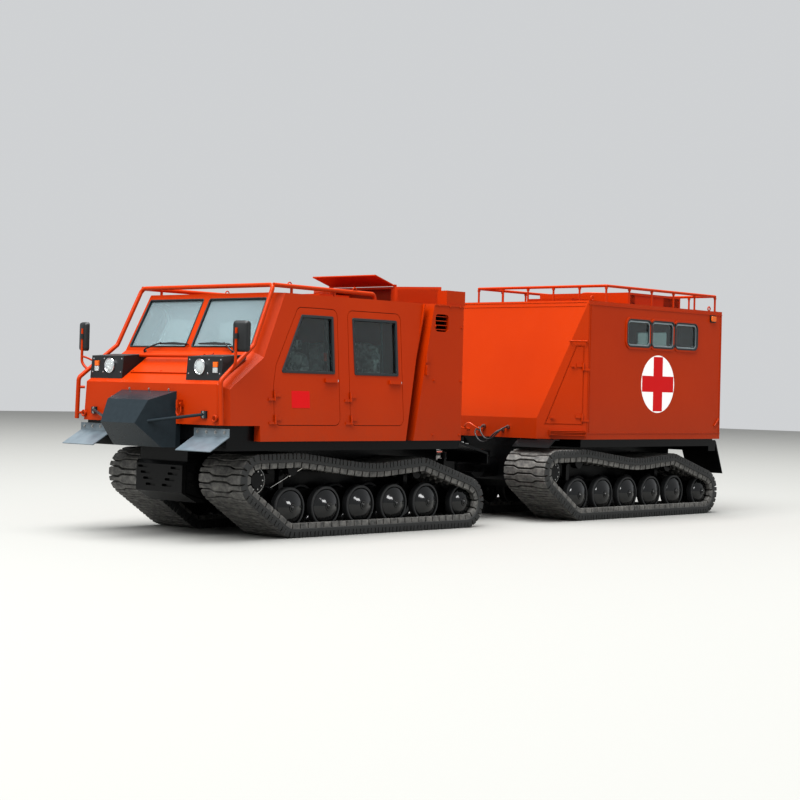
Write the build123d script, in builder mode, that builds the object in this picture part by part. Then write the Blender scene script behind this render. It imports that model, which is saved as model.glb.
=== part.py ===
from build123d import *
import math
import os

os.makedirs("parts", exist_ok=True)

# Axes: +X forward, +Y to the vehicle's left, +Z up, ground at zero, origin at mid-length.
# The front unit's stations are measured from its first road wheel, and the rear unit's from its own.
nose_reach = 1450
unit_spacing = 4702
tail_reach = 3048
overall_length = nose_reach + unit_spacing + tail_reach
front_axle = overall_length / 2 - nose_reach
rear_axle = front_axle - unit_spacing
tail_end = -overall_length / 2

seat_gap = 0.3
wall = 40
glass_thickness = 6

# Running gear, the same under both units
track_outer_y = 1012
track_width = 620
belt_thickness = 35
lug_height = 55
lug_pitch = 110
lug_land = 64
lug_taper = 12
belt_arc_step = 15
wheel_count = 5
wheel_pitch = 504
wheel_radius = 205
wheel_outer_y = 925
wheel_disc = 80
wheel_inner_y = 555
wheel_dome = 45
hub_radius = 36
hub_tip = 18
spindle_radius = 30
idler_behind = 2600
idler_radius = 190
sprocket_ahead = 490
sprocket_height = 576
sprocket_radius = 165
roller_radius = 70
front_roller_behind = 50
front_roller_height = 680
rear_roller_behind = 1890
rear_roller_height = 617
sag_behind = 1150
sag_height = 636
sag_radius = 2500

# Hull tubs and decks
tub_half = 360
tub_floor = 360
deck_bottom = 865
deck_top = 960
deck_half = 1020
front_tub_nose = nose_reach - 590
front_tub_tail = -2800
bay_rear = -2360

# Cab of the front unit
sill_z = 1100
sill_half = 1110
lean_angle = 4.3
roof_z = 2415
cab_nose = nose_reach - 380
cab_nose_top = 1500
nose_block = cab_nose - 60
screen_foot = (600, 1830)
screen_head = (320, roof_z)
cab_back_top = -1800
cab_back_bottom = -1460
cab_step = 605
cab_step_z = 1110
corner_chamfer = 90
weld_lip = 5
door_gap = 6
door_corner = 70
hinge_proud = 14
hinge_radius = 11
hinge_length = 70
hinge_boss = 24
strap_length = 80
strap_width = 40
strap_thickness = hinge_proud - 2
lug_bore = 16
tow_bore = 22

# Coupling between the units
pitch_x = -2990
yaw_x = -3420
link_z = 600
cylinder_z = 760
barrel_pin = (-3000, 300)
rod_pin = (-3720, 240)
roll_radius = 60
# Low edge in y of each pitch lug, which the fork straddles
pitch_lugs = (-190, 130)
pitch_lug_width = 60
pitch_lug_radius = 70
pitch_pin_radius = 30
yaw_pin_radius = 40
cylinder_pin_radius = 22
cylinder_eye = 60
# From a steering cylinder's axis to the near face of the ears that hold its pins
ear_reach = 38
ear_thickness = 22

# Body of the rear unit, on its frame
body_half = 1080
body_floor = deck_top
body_roof = 2600
body_rear = 250 - unit_spacing - tail_reach
nose_foot_x = 552 - unit_spacing
nose_foot_z = 1200
nose_foot_half = 720
nose_head_x = nose_foot_x - 490
bearing_front = nose_foot_x + 200
bearing_back = nose_foot_x - 50
locker_gap = 12
locker_lid = 20


def front(x):
    return front_axle + x


def finish(piece, name):
    piece.part.label = name
    export_step(piece.part, "parts/" + name + ".step")


def box_between(low, high, mode=Mode.ADD):
    size = [abs(b - a) for a, b in zip(low, high)]
    with Locations(tuple((a + b) / 2 for a, b in zip(low, high))):
        Box(*size, mode=mode)


def rod_between(start, end, radius, mode=Mode.ADD):
    start, end = Vector(start), Vector(end)
    run = end - start
    with Locations(Plane(origin=start, z_dir=run)):
        Cylinder(radius, run.length, align=(Align.CENTER, Align.CENTER, Align.MIN), mode=mode)


def tube(points, bend, radius):
    with BuildLine() as path:
        FilletPolyline(*points, radius=bend)
    with BuildSketch(Plane(origin=path.line @ 0, z_dir=path.line % 0)) as ring:
        Circle(radius)
    sweep(ring.sketch, path=path.line)


def side_plane(side):
    lean = math.radians(lean_angle)
    return Plane(
        origin=(front(0), side * sill_half, sill_z),
        x_dir=(-side, 0, 0),
        z_dir=(0, side * math.cos(lean), math.sin(lean)),
    )


def on_side(side, x, z):
    return (-side * x, (z - sill_z) / math.cos(math.radians(lean_angle)))


# A belt runs round its pulleys, each given as x, z and radius; a negative radius is the sag of the top run
def belt_stretches(pulleys):
    headings = []
    for (x1, z1, r1), (x2, z2, r2) in zip(pulleys, pulleys[1:] + pulleys[:1]):
        span = math.hypot(x2 - x1, z2 - z1)
        headings.append(math.atan2(z2 - z1, x2 - x1) + math.asin((r1 - r2) / span))
    stretches = []
    for i, (x, z, r) in enumerate(pulleys):
        turn = (headings[i] - headings[i - 1]) % (2 * math.pi)
        if r < 0 and turn > 0:
            turn -= 2 * math.pi
        if r > 0 and turn > 2 * math.pi - 1e-6:
            turn = 0
        stretches.append(("arc", x, z, r, headings[i - 1], abs(turn * r)))
        x2, z2, r2 = pulleys[(i + 1) % len(pulleys)]
        nx, nz = math.sin(headings[i]), -math.cos(headings[i])
        start = (x + r * nx, z + r * nz)
        end = (x2 + r2 * nx, z2 + r2 * nz)
        stretches.append(("line", start[0], start[1], 0, headings[i], math.dist(start, end)))
    return stretches


def belt_point(stretches, along, height):
    for kind, x, z, r, heading, length in stretches:
        if along <= length:
            break
        along -= length
    if kind == "arc":
        heading += along / r
        nx, nz = math.sin(heading), -math.cos(heading)
        return (x + (r + height) * nx, z + (r + height) * nz)
    nx, nz = math.sin(heading), -math.cos(heading)
    return (x + along * math.cos(heading) + height * nx, z + along * math.sin(heading) + height * nz)


def belt_outlines(axle):
    ground_to_belt = belt_thickness + lug_height
    pulleys = [(axle, ground_to_belt + wheel_radius, wheel_radius)]
    pulleys.append((axle + sprocket_ahead, sprocket_height, sprocket_radius))
    pulleys.append((axle - front_roller_behind, front_roller_height, roller_radius))
    pulleys.append((axle - sag_behind, sag_height + sag_radius, -sag_radius))
    pulleys.append((axle - rear_roller_behind, rear_roller_height, roller_radius))
    pulleys.append((axle - idler_behind, ground_to_belt + idler_radius, idler_radius))
    stretches = belt_stretches(pulleys)
    loop = sum(stretch[-1] for stretch in stretches)
    count = round(loop / lug_pitch)
    tip = belt_thickness + lug_height
    shoe = [(0, belt_thickness), (lug_taper, tip), (lug_land - lug_taper, tip), (lug_land, belt_thickness)]
    outer = [belt_point(stretches, i * loop / count + s, h) for i in range(count) for s, h in shoe]
    inner = []
    travelled = 0
    for kind, x, z, r, heading, length in stretches:
        if kind == "arc":
            steps = max(1, math.ceil(math.degrees(length / abs(r)) / belt_arc_step))
            bulge = r / math.cos(length / abs(r) / steps / 2) - r
            inner += [belt_point(stretches, travelled + (k + 0.5) * length / steps, bulge) for k in range(steps)]
        travelled += length
    return outer, inner


def wheel_profile(x, z, radius):
    rim = radius - seat_gap
    inner_face = wheel_inner_y - wheel_disc
    dome_y = wheel_outer_y + wheel_dome
    points = [
        (0, dome_y + hub_tip),
        (hub_radius, dome_y + hub_tip),
        (hub_radius, dome_y),
        (radius - wheel_dome, wheel_outer_y),
        (rim, wheel_outer_y),
        (rim, wheel_outer_y - wheel_disc),
        (spindle_radius, wheel_outer_y - wheel_disc),
        (spindle_radius, wheel_inner_y),
        (rim, wheel_inner_y),
        (rim, inner_face),
        (0, inner_face),
    ]
    with BuildSketch(Plane.XY.offset(z)) as section:
        with BuildLine():
            Polyline(*[(x + r, y) for r, y in points], close=True)
        make_face()
    revolve(section.sketch, axis=Axis((x, 0, z), (0, 1, 0)))


# Two rubber belts with their shoes, the wheels, the sprockets and the beams that carry them
def running_gear(unit, axle):
    outer, inner = belt_outlines(axle)
    wheel_z = belt_thickness + lug_height + wheel_radius
    idler_z = belt_thickness + lug_height + idler_radius
    for side, word in ((1, "left"), (-1, "right")):
        middle = side * (track_outer_y - track_width / 2)
        with BuildPart() as track:
            with BuildSketch(Plane.XZ.offset(-middle)):
                with BuildLine():
                    Polyline(*outer, close=True)
                make_face()
                with BuildLine():
                    Polyline(*inner, close=True)
                make_face(mode=Mode.SUBTRACT)
            extrude(amount=track_width / 2, both=True)
        finish(track, unit + "_track_" + word)

    stations = [(axle - i * wheel_pitch, wheel_z, wheel_radius) for i in range(wheel_count)]
    stations.append((axle - idler_behind, idler_z, idler_radius))
    with BuildPart() as wheels:
        for x, z, radius in stations:
            wheel_profile(x, z, radius)
        mirror(about=Plane.XZ)
    finish(wheels, unit + "_wheels")

    # Sprocket drums with a bolted flange, and the return rollers
    drive_face = tub_half + 70
    rollers = [(axle - front_roller_behind, front_roller_height), (axle - rear_roller_behind, rear_roller_height)]
    with BuildPart() as sprockets:
        hub = (axle + sprocket_ahead, sprocket_height)
        rod_between((hub[0], drive_face, hub[1]), (hub[0], 930, hub[1]), 110)
        for y in (500, 840):
            rod_between((hub[0], y, hub[1]), (hub[0], y + 60, hub[1]), sprocket_radius - seat_gap)
        rod_between((hub[0], 900, hub[1]), (hub[0], 955, hub[1]), 70)
        for x, z in rollers:
            rod_between((x, 500, z), (x, 580, z), roller_radius - seat_gap)
            rod_between((x, 820, z), (x, 900, z), roller_radius - seat_gap)
            rod_between((x, 580, z), (x, 820, z), 20)
        mirror(about=Plane.XZ)
    finish(sprockets, unit + "_sprockets")

    # Track beams with an arm to every wheel, cross tubes to the hull and the final drives
    beam_low, beam_high = 370, 460
    with BuildPart() as beams:
        box_between((axle - 2400, 630, beam_low), (axle + 300, 770, beam_high))
        for x, z, radius in stations:
            box_between((x - 40, 670, z), (max(x + 40, axle - 2400), 730, beam_low + 20))
            rod_between((x, 660, z), (x, 740, z), 58)
        for x, z in rollers:
            box_between((x - 30, 670, beam_high), (x + 30, 730, z))
            rod_between((x, 660, z), (x, 740, z), 40)
        for x in (axle - 252, axle - 1764):
            rod_between((x, tub_half, 430), (x, 640, 430), 38)
        rod_between((axle + sprocket_ahead, tub_half, sprocket_height),
                    (axle + sprocket_ahead, drive_face, sprocket_height), 120)
        for x, z, radius in stations:
            rod_between((x, 600, z), (x, 800, z), spindle_radius + seat_gap, mode=Mode.SUBTRACT)
        for x, z in rollers:
            rod_between((x, 600, z), (x, 800, z), 20 + seat_gap, mode=Mode.SUBTRACT)
        mirror(about=Plane.XZ)
    finish(beams, unit + "_axles")


running_gear("front", front_axle)
running_gear("rear", rear_axle)

# Black welded hull of the front unit: tub, deck over the tracks, nose block and tail fenders
with BuildPart() as front_hull:
    with BuildSketch(Plane.XZ):
        with BuildLine():
            Polyline(
                (front(front_tub_nose), 430), (front(front_tub_nose), deck_bottom),
                (front(front_tub_tail), deck_bottom), (front(front_tub_tail), 450),
                (front(front_tub_tail + 200), tub_floor), (front(620), tub_floor), close=True)
        make_face()
    extrude(amount=tub_half, both=True)
    box_between((front(bay_rear - 60), -deck_half, deck_bottom), (front(nose_block - 60), deck_half, deck_top))
    box_between((front(cab_step), -1030, deck_top), (front(nose_block), 1030, cab_step_z))
    for side in (1, -1):
        with BuildSketch(Plane.XZ.offset(-side * 700)):
            with BuildLine():
                Polyline(
                    (front(-2420), deck_top), (front(-2950), 820), (front(-2950), 700),
                    (front(-2930), 700), (front(-2930), 800), (front(-2420), 930), close=True)
            make_face()
        extrude(amount=300, both=True)
    for y in pitch_lugs:
        far = y + pitch_lug_width
        box_between((front(pitch_x), y, link_z - pitch_lug_radius),
                    (front(front_tub_tail), far, link_z + pitch_lug_radius))
        rod_between((front(pitch_x), y, link_z), (front(pitch_x), far, link_z), pitch_lug_radius)
    rod_between((front(pitch_x), pitch_lugs[0] - 10, link_z), (front(pitch_x), -pitch_lugs[0] + 10, link_z),
                pitch_pin_radius)
finish(front_hull, "front_hull")

# Cab shell: a folded prism with leaning sides, hollow, with its door and screen openings
cab_outline = [
    (cab_nose, cab_step_z), (cab_nose, cab_nose_top), screen_foot, screen_head,
    (cab_back_top, roof_z), (cab_back_bottom, deck_top), (cab_step, deck_top), (cab_step, cab_step_z),
]
# Door outlines: x and z of each corner, front door first
door_foot = sill_z + 20
door_head = roof_z - 135
window_foot = 1635
window_head = roof_z - 210
door_outlines = {
    "front": [(50, door_head), (-490, door_head), (-490, door_foot), (410, door_foot), (410, 1500), (370, 1700)],
    "rear": [(-645, door_head), (-1430, door_head), (-1430, door_foot), (-645, door_foot)],
}
window_outlines = {
    "front": [(5, window_head), (-430, window_head), (-430, window_foot), (300, window_foot)],
    "rear": [(-712, window_head), (-1368, window_head), (-1368, window_foot), (-725, window_foot)],
}
window_corner = 12
screen_rise = math.dist(screen_foot, screen_head)
screen_normal = ((screen_head[1] - screen_foot[1]) / screen_rise, (screen_foot[0] - screen_head[0]) / screen_rise)
screen_plane = Plane(
    origin=(front(screen_foot[0]), 0, screen_foot[1]),
    x_dir=(0, 1, 0),
    z_dir=(screen_normal[0], 0, screen_normal[1]),
)
# One pane of the screen: distance from the centreline and height up the slope
screen_pane = [(45, 45), (925, 45), (885, screen_rise - 60), (45, screen_rise - 60)]


def side_face(side, outline, corner, grow=0):
    with BuildLine() as edge:
        Polyline(*[on_side(side, x, z) for x, z in outline], close=True)
    face = make_face(edge.edges())
    if corner:
        fillet(face.vertices(), corner)
    if grow:
        offset(amount=grow, kind=Kind.INTERSECTION)


# A strap hinge on a panel's plane: the moving knuckle and strap, or the fixed boss and strap below it
def hinge(plane, pin, toward, fixed):
    along, up = pin
    length = hinge_boss if fixed else hinge_length
    low = up - hinge_length / 2 - (hinge_boss + seat_gap if fixed else 0)
    reach = -toward if fixed else toward
    with BuildSketch(plane) as strap:
        with Locations((along + reach * strap_length / 2, low + length / 2)):
            Rectangle(strap_length, min(strap_width, length))
    extrude(strap.sketch, amount=strap_thickness)
    foot = plane.from_local_coords(Vector(along, low, hinge_proud))
    with Locations(Plane(origin=foot, z_dir=plane.y_dir)):
        Cylinder(hinge_radius, length, align=(Align.CENTER, Align.CENTER, Align.MIN))


hinge_heights = (1185, 1415)


with BuildPart() as cab_shell:
    with BuildSketch(Plane.XZ):
        with BuildLine():
            Polyline(*[(front(x), z) for x, z in cab_outline], close=True)
        make_face()
    extrude(amount=sill_half + 60, both=True)
    for side in (1, -1):
        split(bisect_by=side_plane(side), keep=Keep.BOTTOM)
    corner_edges = cab_shell.edges().filter_by(
        lambda e: abs(e.center().Y) > 900 and e.center().X > front(200) and e.center().Z > cab_step_z + 50
        and abs((e @ 0).Y - (e @ 1).Y) < 200)
    chamfer(corner_edges, corner_chamfer)
    offset(cab_shell.part, amount=-wall, kind=Kind.INTERSECTION, mode=Mode.SUBTRACT)
    for side in (1, -1):
        for outline in door_outlines.values():
            with BuildSketch(side_plane(side)):
                side_face(side, outline, door_corner, door_gap)
            extrude(amount=-wall * 2, mode=Mode.SUBTRACT)
        for outline in door_outlines.values():
            for z in hinge_heights:
                hinge(side_plane(side), on_side(side, max(x for x, z in outline), z), side, True)
    with BuildSketch(screen_plane):
        for side in (1, -1):
            with BuildLine():
                Polyline(*[(side * y, h) for y, h in screen_pane], close=True)
            make_face()
    extrude(amount=-wall * 2, mode=Mode.SUBTRACT)
    box_between((front(-1400), -300, roof_z), (front(-950), 300, roof_z + 70))
    for side in (1, -1):
        box_between((front(cab_nose), side * 500 - 12, 1265), (front(cab_nose + 65), side * 500 + 12, 1345))
    rod_between((front(cab_nose + 35), -600, 1305), (front(cab_nose + 35), 600, 1305), lug_bore, mode=Mode.SUBTRACT)
    # The shell is welded up from its side frames, roof, floor, rear wall and front frame, which meet at these seams
    for side in (1, -1):
        split(bisect_by=side_plane(side).offset(-wall - weld_lip), keep=Keep.BOTH)
    split(bisect_by=Plane.XY.offset(roof_z - wall - weld_lip), keep=Keep.BOTH)
    split(bisect_by=Plane.XY.offset(deck_top + wall + weld_lip), keep=Keep.BOTH)
finish(cab_shell, "cab_shell")

with BuildPart() as windscreen:
    with BuildSketch(screen_plane.offset(-wall / 2)):
        for side in (1, -1):
            with BuildLine():
                Polyline(*[(side * y, h) for y, h in screen_pane], close=True)
            make_face()
        offset(amount=-seat_gap, kind=Kind.INTERSECTION)
    extrude(amount=-glass_thickness)
finish(windscreen, "windscreen")

# Doors as thick as the wall, hinged at the front edge on two straps, with a pull handle
handle_z = 1565
for side, word in ((1, "left"), (-1, "right")):
    for place in ("front", "rear"):
        outline = door_outlines[place]
        window = window_outlines[place]
        hinge_x = max(x for x, z in outline)
        latch_x = min(x for x, z in outline)
        with BuildPart() as door:
            with BuildSketch(side_plane(side)):
                side_face(side, outline, door_corner)
            extrude(amount=-wall)
            with BuildSketch(side_plane(side)):
                side_face(side, window, window_corner)
            extrude(amount=-wall, mode=Mode.SUBTRACT)
            for z in hinge_heights:
                hinge(side_plane(side), on_side(side, hinge_x, z), side, False)
            with BuildSketch(side_plane(side)):
                with Locations(on_side(side, latch_x + 120, handle_z)):
                    Rectangle(170, 40)
            extrude(amount=22)
        finish(door, "door_" + place + "_" + word)
        with BuildPart() as pane:
            with BuildSketch(side_plane(side).offset(-wall / 2)):
                side_face(side, window, window_corner, -seat_gap)
            extrude(amount=-glass_thickness)
        finish(pane, "glass_" + place + "_" + word)

# Engine cover behind the cab: upright sides, a slanting gap to the cab, the intake cowl and rear box
cover_half = 1100
cover_outline = [(-1600, deck_top), (-1885, roof_z), (bay_rear, roof_z), (bay_rear, deck_top)]
cowl_top = roof_z + 195
box_top = roof_z + 155
# Side air intake with level bars across it
intake_x, intake_z = -2010, roof_z - 200
intake_width, intake_height = 210, 185
intake_bars = 4
intake_bar = 10
flap_length = 300
flap_angle = 17
flap_axis = (front(-1892), cowl_top + 14)
flap_pin_radius = 10
flap_pin_half = 480
with BuildPart() as engine_cover:
    with BuildSketch(Plane.XZ):
        with BuildLine():
            Polyline(*[(front(x), z) for x, z in cover_outline], close=True)
        make_face()
    extrude(amount=cover_half, both=True)
    offset(engine_cover.part, amount=-wall, kind=Kind.INTERSECTION, mode=Mode.SUBTRACT)
    for side in (1, -1):
        with BuildSketch(Plane.XZ.offset(-side * cover_half)):
            with Locations((front(intake_x), intake_z)):
                RectangleRounded(intake_width, intake_height, 40)
        extrude(amount=side * wall * 2, mode=Mode.SUBTRACT)
        for i in range(intake_bars):
            z = intake_z + (i - (intake_bars - 1) / 2) * intake_height / intake_bars
            box_between((front(intake_x) - intake_width / 2, side * (cover_half - wall), z - intake_bar / 2),
                        (front(intake_x) + intake_width / 2, side * (cover_half - wall / 2), z + intake_bar / 2))
    with BuildSketch(Plane.XY.offset(roof_z)):
        with BuildLine():
            Polyline(
                (front(-1900), -500), (front(-1900), 500), (front(-2120), 980), (front(-2120), -980), close=True)
        make_face()
    extrude(amount=cowl_top - roof_z)
    box_between((front(-1860), -440, roof_z + 25), (front(-2050), 440, cowl_top - 25), mode=Mode.SUBTRACT)
    box_between((front(bay_rear - 40), -1080, roof_z), (front(-2100), 1080, box_top))
    for side in (1, -1):
        near, far = side * (flap_pin_half + seat_gap), side * (flap_pin_half + 16)
        rod_between((flap_axis[0], near, flap_axis[1]), (flap_axis[0], far, flap_axis[1]), flap_pin_radius)
        box_between((flap_axis[0] - 40, near, cowl_top), (flap_axis[0], far, flap_axis[1] + flap_pin_radius))
        box_between((flap_axis[0] - 40, near, cowl_top - 30), (flap_axis[0] - 8, far, cowl_top))
finish(engine_cover, "engine_cover")

with BuildPart() as engine_block:
    box_between((front(-2250), -350, deck_top + wall + seat_gap), (front(-1800), 350, 1700))
finish(engine_block, "engine_block")

# Rain flap of the intake, raised at its front edge and hinged at the cowl's top edge
with BuildPart() as intake_flap:
    flap_plane = Plane(
        origin=(flap_axis[0], 0, flap_axis[1]), x_dir=(0, 1, 0),
        z_dir=(-math.sin(math.radians(flap_angle)), 0, math.cos(math.radians(flap_angle))))
    with BuildSketch(flap_plane):
        with Locations((0, -flap_length / 2)):
            Rectangle(2 * flap_pin_half, flap_length)
    extrude(amount=12)
    rod_between((flap_axis[0], -flap_pin_half, flap_axis[1]), (flap_axis[0], flap_pin_half, flap_axis[1]),
                flap_pin_radius)
finish(intake_flap, "intake_flap")

# Seats and dashboard in the cab: two single seats and a bench behind them
seat_top = 1420
seat_depth = 450
back_top = 1990
back_thickness = 110
driver_y = 480
# Rear edge, middle and width of each seat cushion
seat_places = [(-330, driver_y, 500), (-330, -driver_y, 500), (-1250, 0, 1700)]
with BuildPart() as cab_seats:
    floor = deck_top + wall + seat_gap
    for x, y, width in seat_places:
        box_between((front(x), y - width / 2, floor), (front(x + seat_depth), y + width / 2, seat_top))
        box_between((front(x - back_thickness), y - width / 2, seat_top - 40), (front(x), y + width / 2, back_top))
finish(cab_seats, "cab_seats")

with BuildPart() as dashboard:
    with BuildSketch(Plane.XZ):
        with BuildLine():
            Polyline(
                (front(cab_nose - 120), 1480), (front(560), 1770), (front(330), 1720), (front(330), 1500),
                (front(600), 1400), (front(cab_nose - 120), 1400), close=True)
        make_face()
    extrude(amount=940, both=True)
    box_between((front(700), -200, cab_step_z + wall + seat_gap), (front(900), 200, 1420))
    rod_between((front(420), driver_y, 1640), (front(270), driver_y, 1748), 18)
    with Locations(Plane(origin=(front(275), driver_y, 1745), z_dir=(-0.8, 0, 0.6))):
        Torus(190, 14)
        Box(380, 24, 12)
finish(dashboard, "dashboard")

# Orange guard tubes: up the front corners, along the hood, up the screen and back over the roof
tube_radius = 22
guard_foot = (cab_nose + 25, 1105, 1120)
guard_shoulder = (cab_nose + 30, 1085, cab_nose_top + 35)
guard_waist = (650, 1040, 1885)
guard_top = (370, 1000, roof_z + 70)
rail_end = (-1110, 950, roof_z + 60)
pod_inner, pod_outer = 490, 1000
rail_stands = (120, -500)
guard_stands = (1180, 1440)


def at_front(point, side):
    return (front(point[0]), side * point[1], point[2])


with BuildPart() as guard_tubes:
    loop = [at_front(p, 1) for p in (guard_foot, guard_shoulder, guard_waist, guard_top)]
    loop += [at_front(p, -1) for p in (guard_top, guard_waist, guard_shoulder, guard_foot)]
    tube(loop, 60, tube_radius)
    for side in (1, -1):
        tube([at_front(guard_top, side), at_front(rail_end, side),
              at_front((rail_end[0], rail_end[1], roof_z), side)], 50, tube_radius)
        for x in rail_stands:
            share = (guard_top[0] - x) / (guard_top[0] - rail_end[0])
            y, z = [a + share * (b - a) for a, b in zip(guard_top[1:], rail_end[1:])]
            rod_between(at_front((x, y, roof_z), side), at_front((x, y, z), side), 14)
        for z in guard_stands:
            corner = (cab_nose + sill_half - corner_chamfer) / 2
            share = (z - guard_foot[2]) / (guard_shoulder[2] - guard_foot[2])
            x, y = [a + share * (b - a) for a, b in zip(guard_foot[:2], guard_shoulder[:2])]
            off = (x + y) / 2 - corner - 2
            rod_between(at_front((x - off, y - off, z), side), at_front((x, y, z), side), 14)
    bar_x, bar_z = front(cab_nose - 280), cab_nose_top + 275
    rod_between((bar_x, seat_gap - pod_inner, bar_z), (bar_x, pod_inner - seat_gap, bar_z), 18)
finish(guard_tubes, "guard_tubes")


def hood_z(x):
    slope = (screen_foot[1] - cab_nose_top) / (screen_foot[0] - cab_nose)
    return cab_nose_top + slope * (x - cab_nose) + 0.4


# Headlamp pods on the hood slope: a round headlamp and an upright side lamp let into each face
pod_front, pod_back = cab_nose - 50, cab_nose - 370
pod_top = cab_nose_top + 265
lamp_y, lamp_z = 690, cab_nose_top + 165
lamp_radius = 76
lamp_back = pod_front - 30
side_lamp_y, side_lamp_z = 905, cab_nose_top + 160
side_lamp_width, side_lamp_height = 66, 110
with BuildPart() as lamp_pods:
    with BuildSketch(Plane.XZ.offset(-(pod_inner + pod_outer) / 2)):
        with BuildLine():
            Polyline(
                (front(pod_front), hood_z(pod_front)), (front(pod_front - 20), pod_top),
                (front(pod_back + 20), pod_top + 25), (front(pod_back), hood_z(pod_back)), close=True)
        make_face()
    extrude(amount=(pod_outer - pod_inner) / 2, both=True)
    rod_between((front(lamp_back), lamp_y, lamp_z), (front(pod_front + 20), lamp_y, lamp_z), lamp_radius + 2,
                mode=Mode.SUBTRACT)
    with Locations((front(lamp_back) + 25, side_lamp_y, side_lamp_z)):
        Box(50, side_lamp_width + 4, side_lamp_height + 4, mode=Mode.SUBTRACT)
    mirror(about=Plane.XZ)
finish(lamp_pods, "lamp_pods")

with BuildPart() as lamp_lenses:
    rod_between((front(lamp_back) + seat_gap, lamp_y, lamp_z), (front(pod_front + 2), lamp_y, lamp_z), lamp_radius)
    with Locations((front(lamp_back) + seat_gap + 16, side_lamp_y, side_lamp_z)):
        Box(32, side_lamp_width, side_lamp_height)
    mirror(about=Plane.XZ)
finish(lamp_lenses, "lamp_lenses")

# Faceted winch housing with its two struts to the face
with BuildPart() as winch_housing:
    with BuildSketch(Plane.XZ):
        with BuildLine():
            Polyline(
                (front(cab_nose), 1425), (front(nose_reach - 120), 1335), (front(nose_reach), 1110),
                (front(nose_reach - 250), 880), (front(nose_block + 2), 880), (front(nose_block + 2), 1105),
                (front(cab_nose), 1105), close=True)
        make_face()
    extrude(amount=420, both=True)
    for side in (1, -1):
        split(bisect_by=Plane(origin=(front(cab_nose), side * 420, 1100), z_dir=(0.42, side, 0)), keep=Keep.BOTTOM)
        rod_between((front(nose_reach - 120), side * 290, 1130), (front(cab_nose + 20), side * 830, 1210), 15)
        box_between((front(cab_nose), side * 840 - 35, 1175), (front(cab_nose + 22), side * 840 + 35, 1245))
finish(winch_housing, "winch_housing")

# Sloping flaps under the front corners
with BuildPart() as front_flaps:
    for side in (1, -1):
        with BuildSketch(Plane.XZ.offset(-side * 880)):
            with BuildLine():
                Polyline(
                    (front(nose_block) + seat_gap, 1000), (front(nose_block) + seat_gap, 1080),
                    (front(nose_block + 10), 1080), (front(nose_block + 10), 1005),
                    (front(nose_block + 240), 870), (front(nose_block + 236), 863), close=True)
            make_face()
        extrude(amount=250, both=True)
finish(front_flaps, "front_flaps")

# Slotted belly plate between the tracks, with its upper edge folded back
belly_half = 350
belly_face = front_tub_nose + 55
# Middle of each cooling slot: distance from the centreline, and height
belly_slots = [(250, 670), (208, 612), (166, 554), (124, 496)]
slot_width, slot_height, slot_depth = 150, 24, 30
with BuildPart() as belly_plate:
    with BuildSketch(Plane.XZ):
        with BuildLine():
            Polyline(
                (front(front_tub_nose), 735), (front(belly_face - 15), 735), (front(belly_face), 700),
                (front(belly_face), 430), (front(belly_face - 195), 330), (front(belly_face - 295), 330),
                (front(belly_face - 295), 350), (front(front_tub_nose + 5), 425), close=True)
        make_face()
    extrude(amount=belly_half, both=True)
    with BuildSketch(Plane.YZ.offset(front(belly_face))):
        for y, z in belly_slots:
            with Locations((y, z), (-y, z)):
                SlotOverall(slot_width, slot_height)
    extrude(amount=-slot_depth, mode=Mode.SUBTRACT)
finish(belly_plate, "belly_plate")

# Mirror heads on their arms
mirror_turn = 17.5
with BuildPart() as mirrors:
    head_dir = (math.cos(math.radians(mirror_turn)), math.sin(math.radians(mirror_turn)), 0)
    with Locations(Plane(origin=(front(cab_nose - 110), 1200, 1960), x_dir=(-head_dir[1], head_dir[0], 0), z_dir=head_dir)):
        Box(175, 300, 60)
    tube([(front(cab_nose - 85), 1103, 1628), (front(cab_nose - 70), 1175, 1700),
          (front(cab_nose - 70), 1175, 2040)], 30, 14)
    mirror(about=Plane.XZ)
finish(mirrors, "mirrors")

# Coupling fork on the pitch pin, with the yaw pin and the ears of the steering cylinders
plate_half = 120
plate_thickness = 30
yoke_half = 350
yoke_low, yoke_high = link_z - 70, cylinder_z - ear_reach - ear_thickness
lug_room = 80
with BuildPart() as coupling_fork:
    box_between((front(pitch_x - 140), -yoke_half, yoke_low), (front(pitch_x + 45), yoke_half, yoke_high))
    for low in (link_z - 90, link_z + 60):
        box_between((front(yaw_x), -plate_half, low), (front(pitch_x), plate_half, low + plate_thickness))
        with Locations((front(yaw_x), 0, low + plate_thickness / 2)):
            Cylinder(plate_half, plate_thickness)
    with Locations((front(yaw_x), 0, link_z)):
        Cylinder(yaw_pin_radius, 200)
    for side in (1, -1):
        x, y = front(barrel_pin[0]), side * barrel_pin[1]
        box_between((x - 50, y - 50, yoke_high), (x + 50, y + 50, cylinder_z - ear_reach))
        with Locations((x, y, cylinder_z)):
            Cylinder(cylinder_pin_radius, 90)
    for y in pitch_lugs:
        box_between((front(pitch_x - lug_room), y - 5, yoke_low - 30),
                    (front(pitch_x + lug_room), y + pitch_lug_width + 5, yoke_high + 20), mode=Mode.SUBTRACT)
    rod_between((front(pitch_x), -300, link_z), (front(pitch_x), 300, link_z), pitch_pin_radius + seat_gap,
                mode=Mode.SUBTRACT)
finish(coupling_fork, "coupling_fork")

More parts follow.
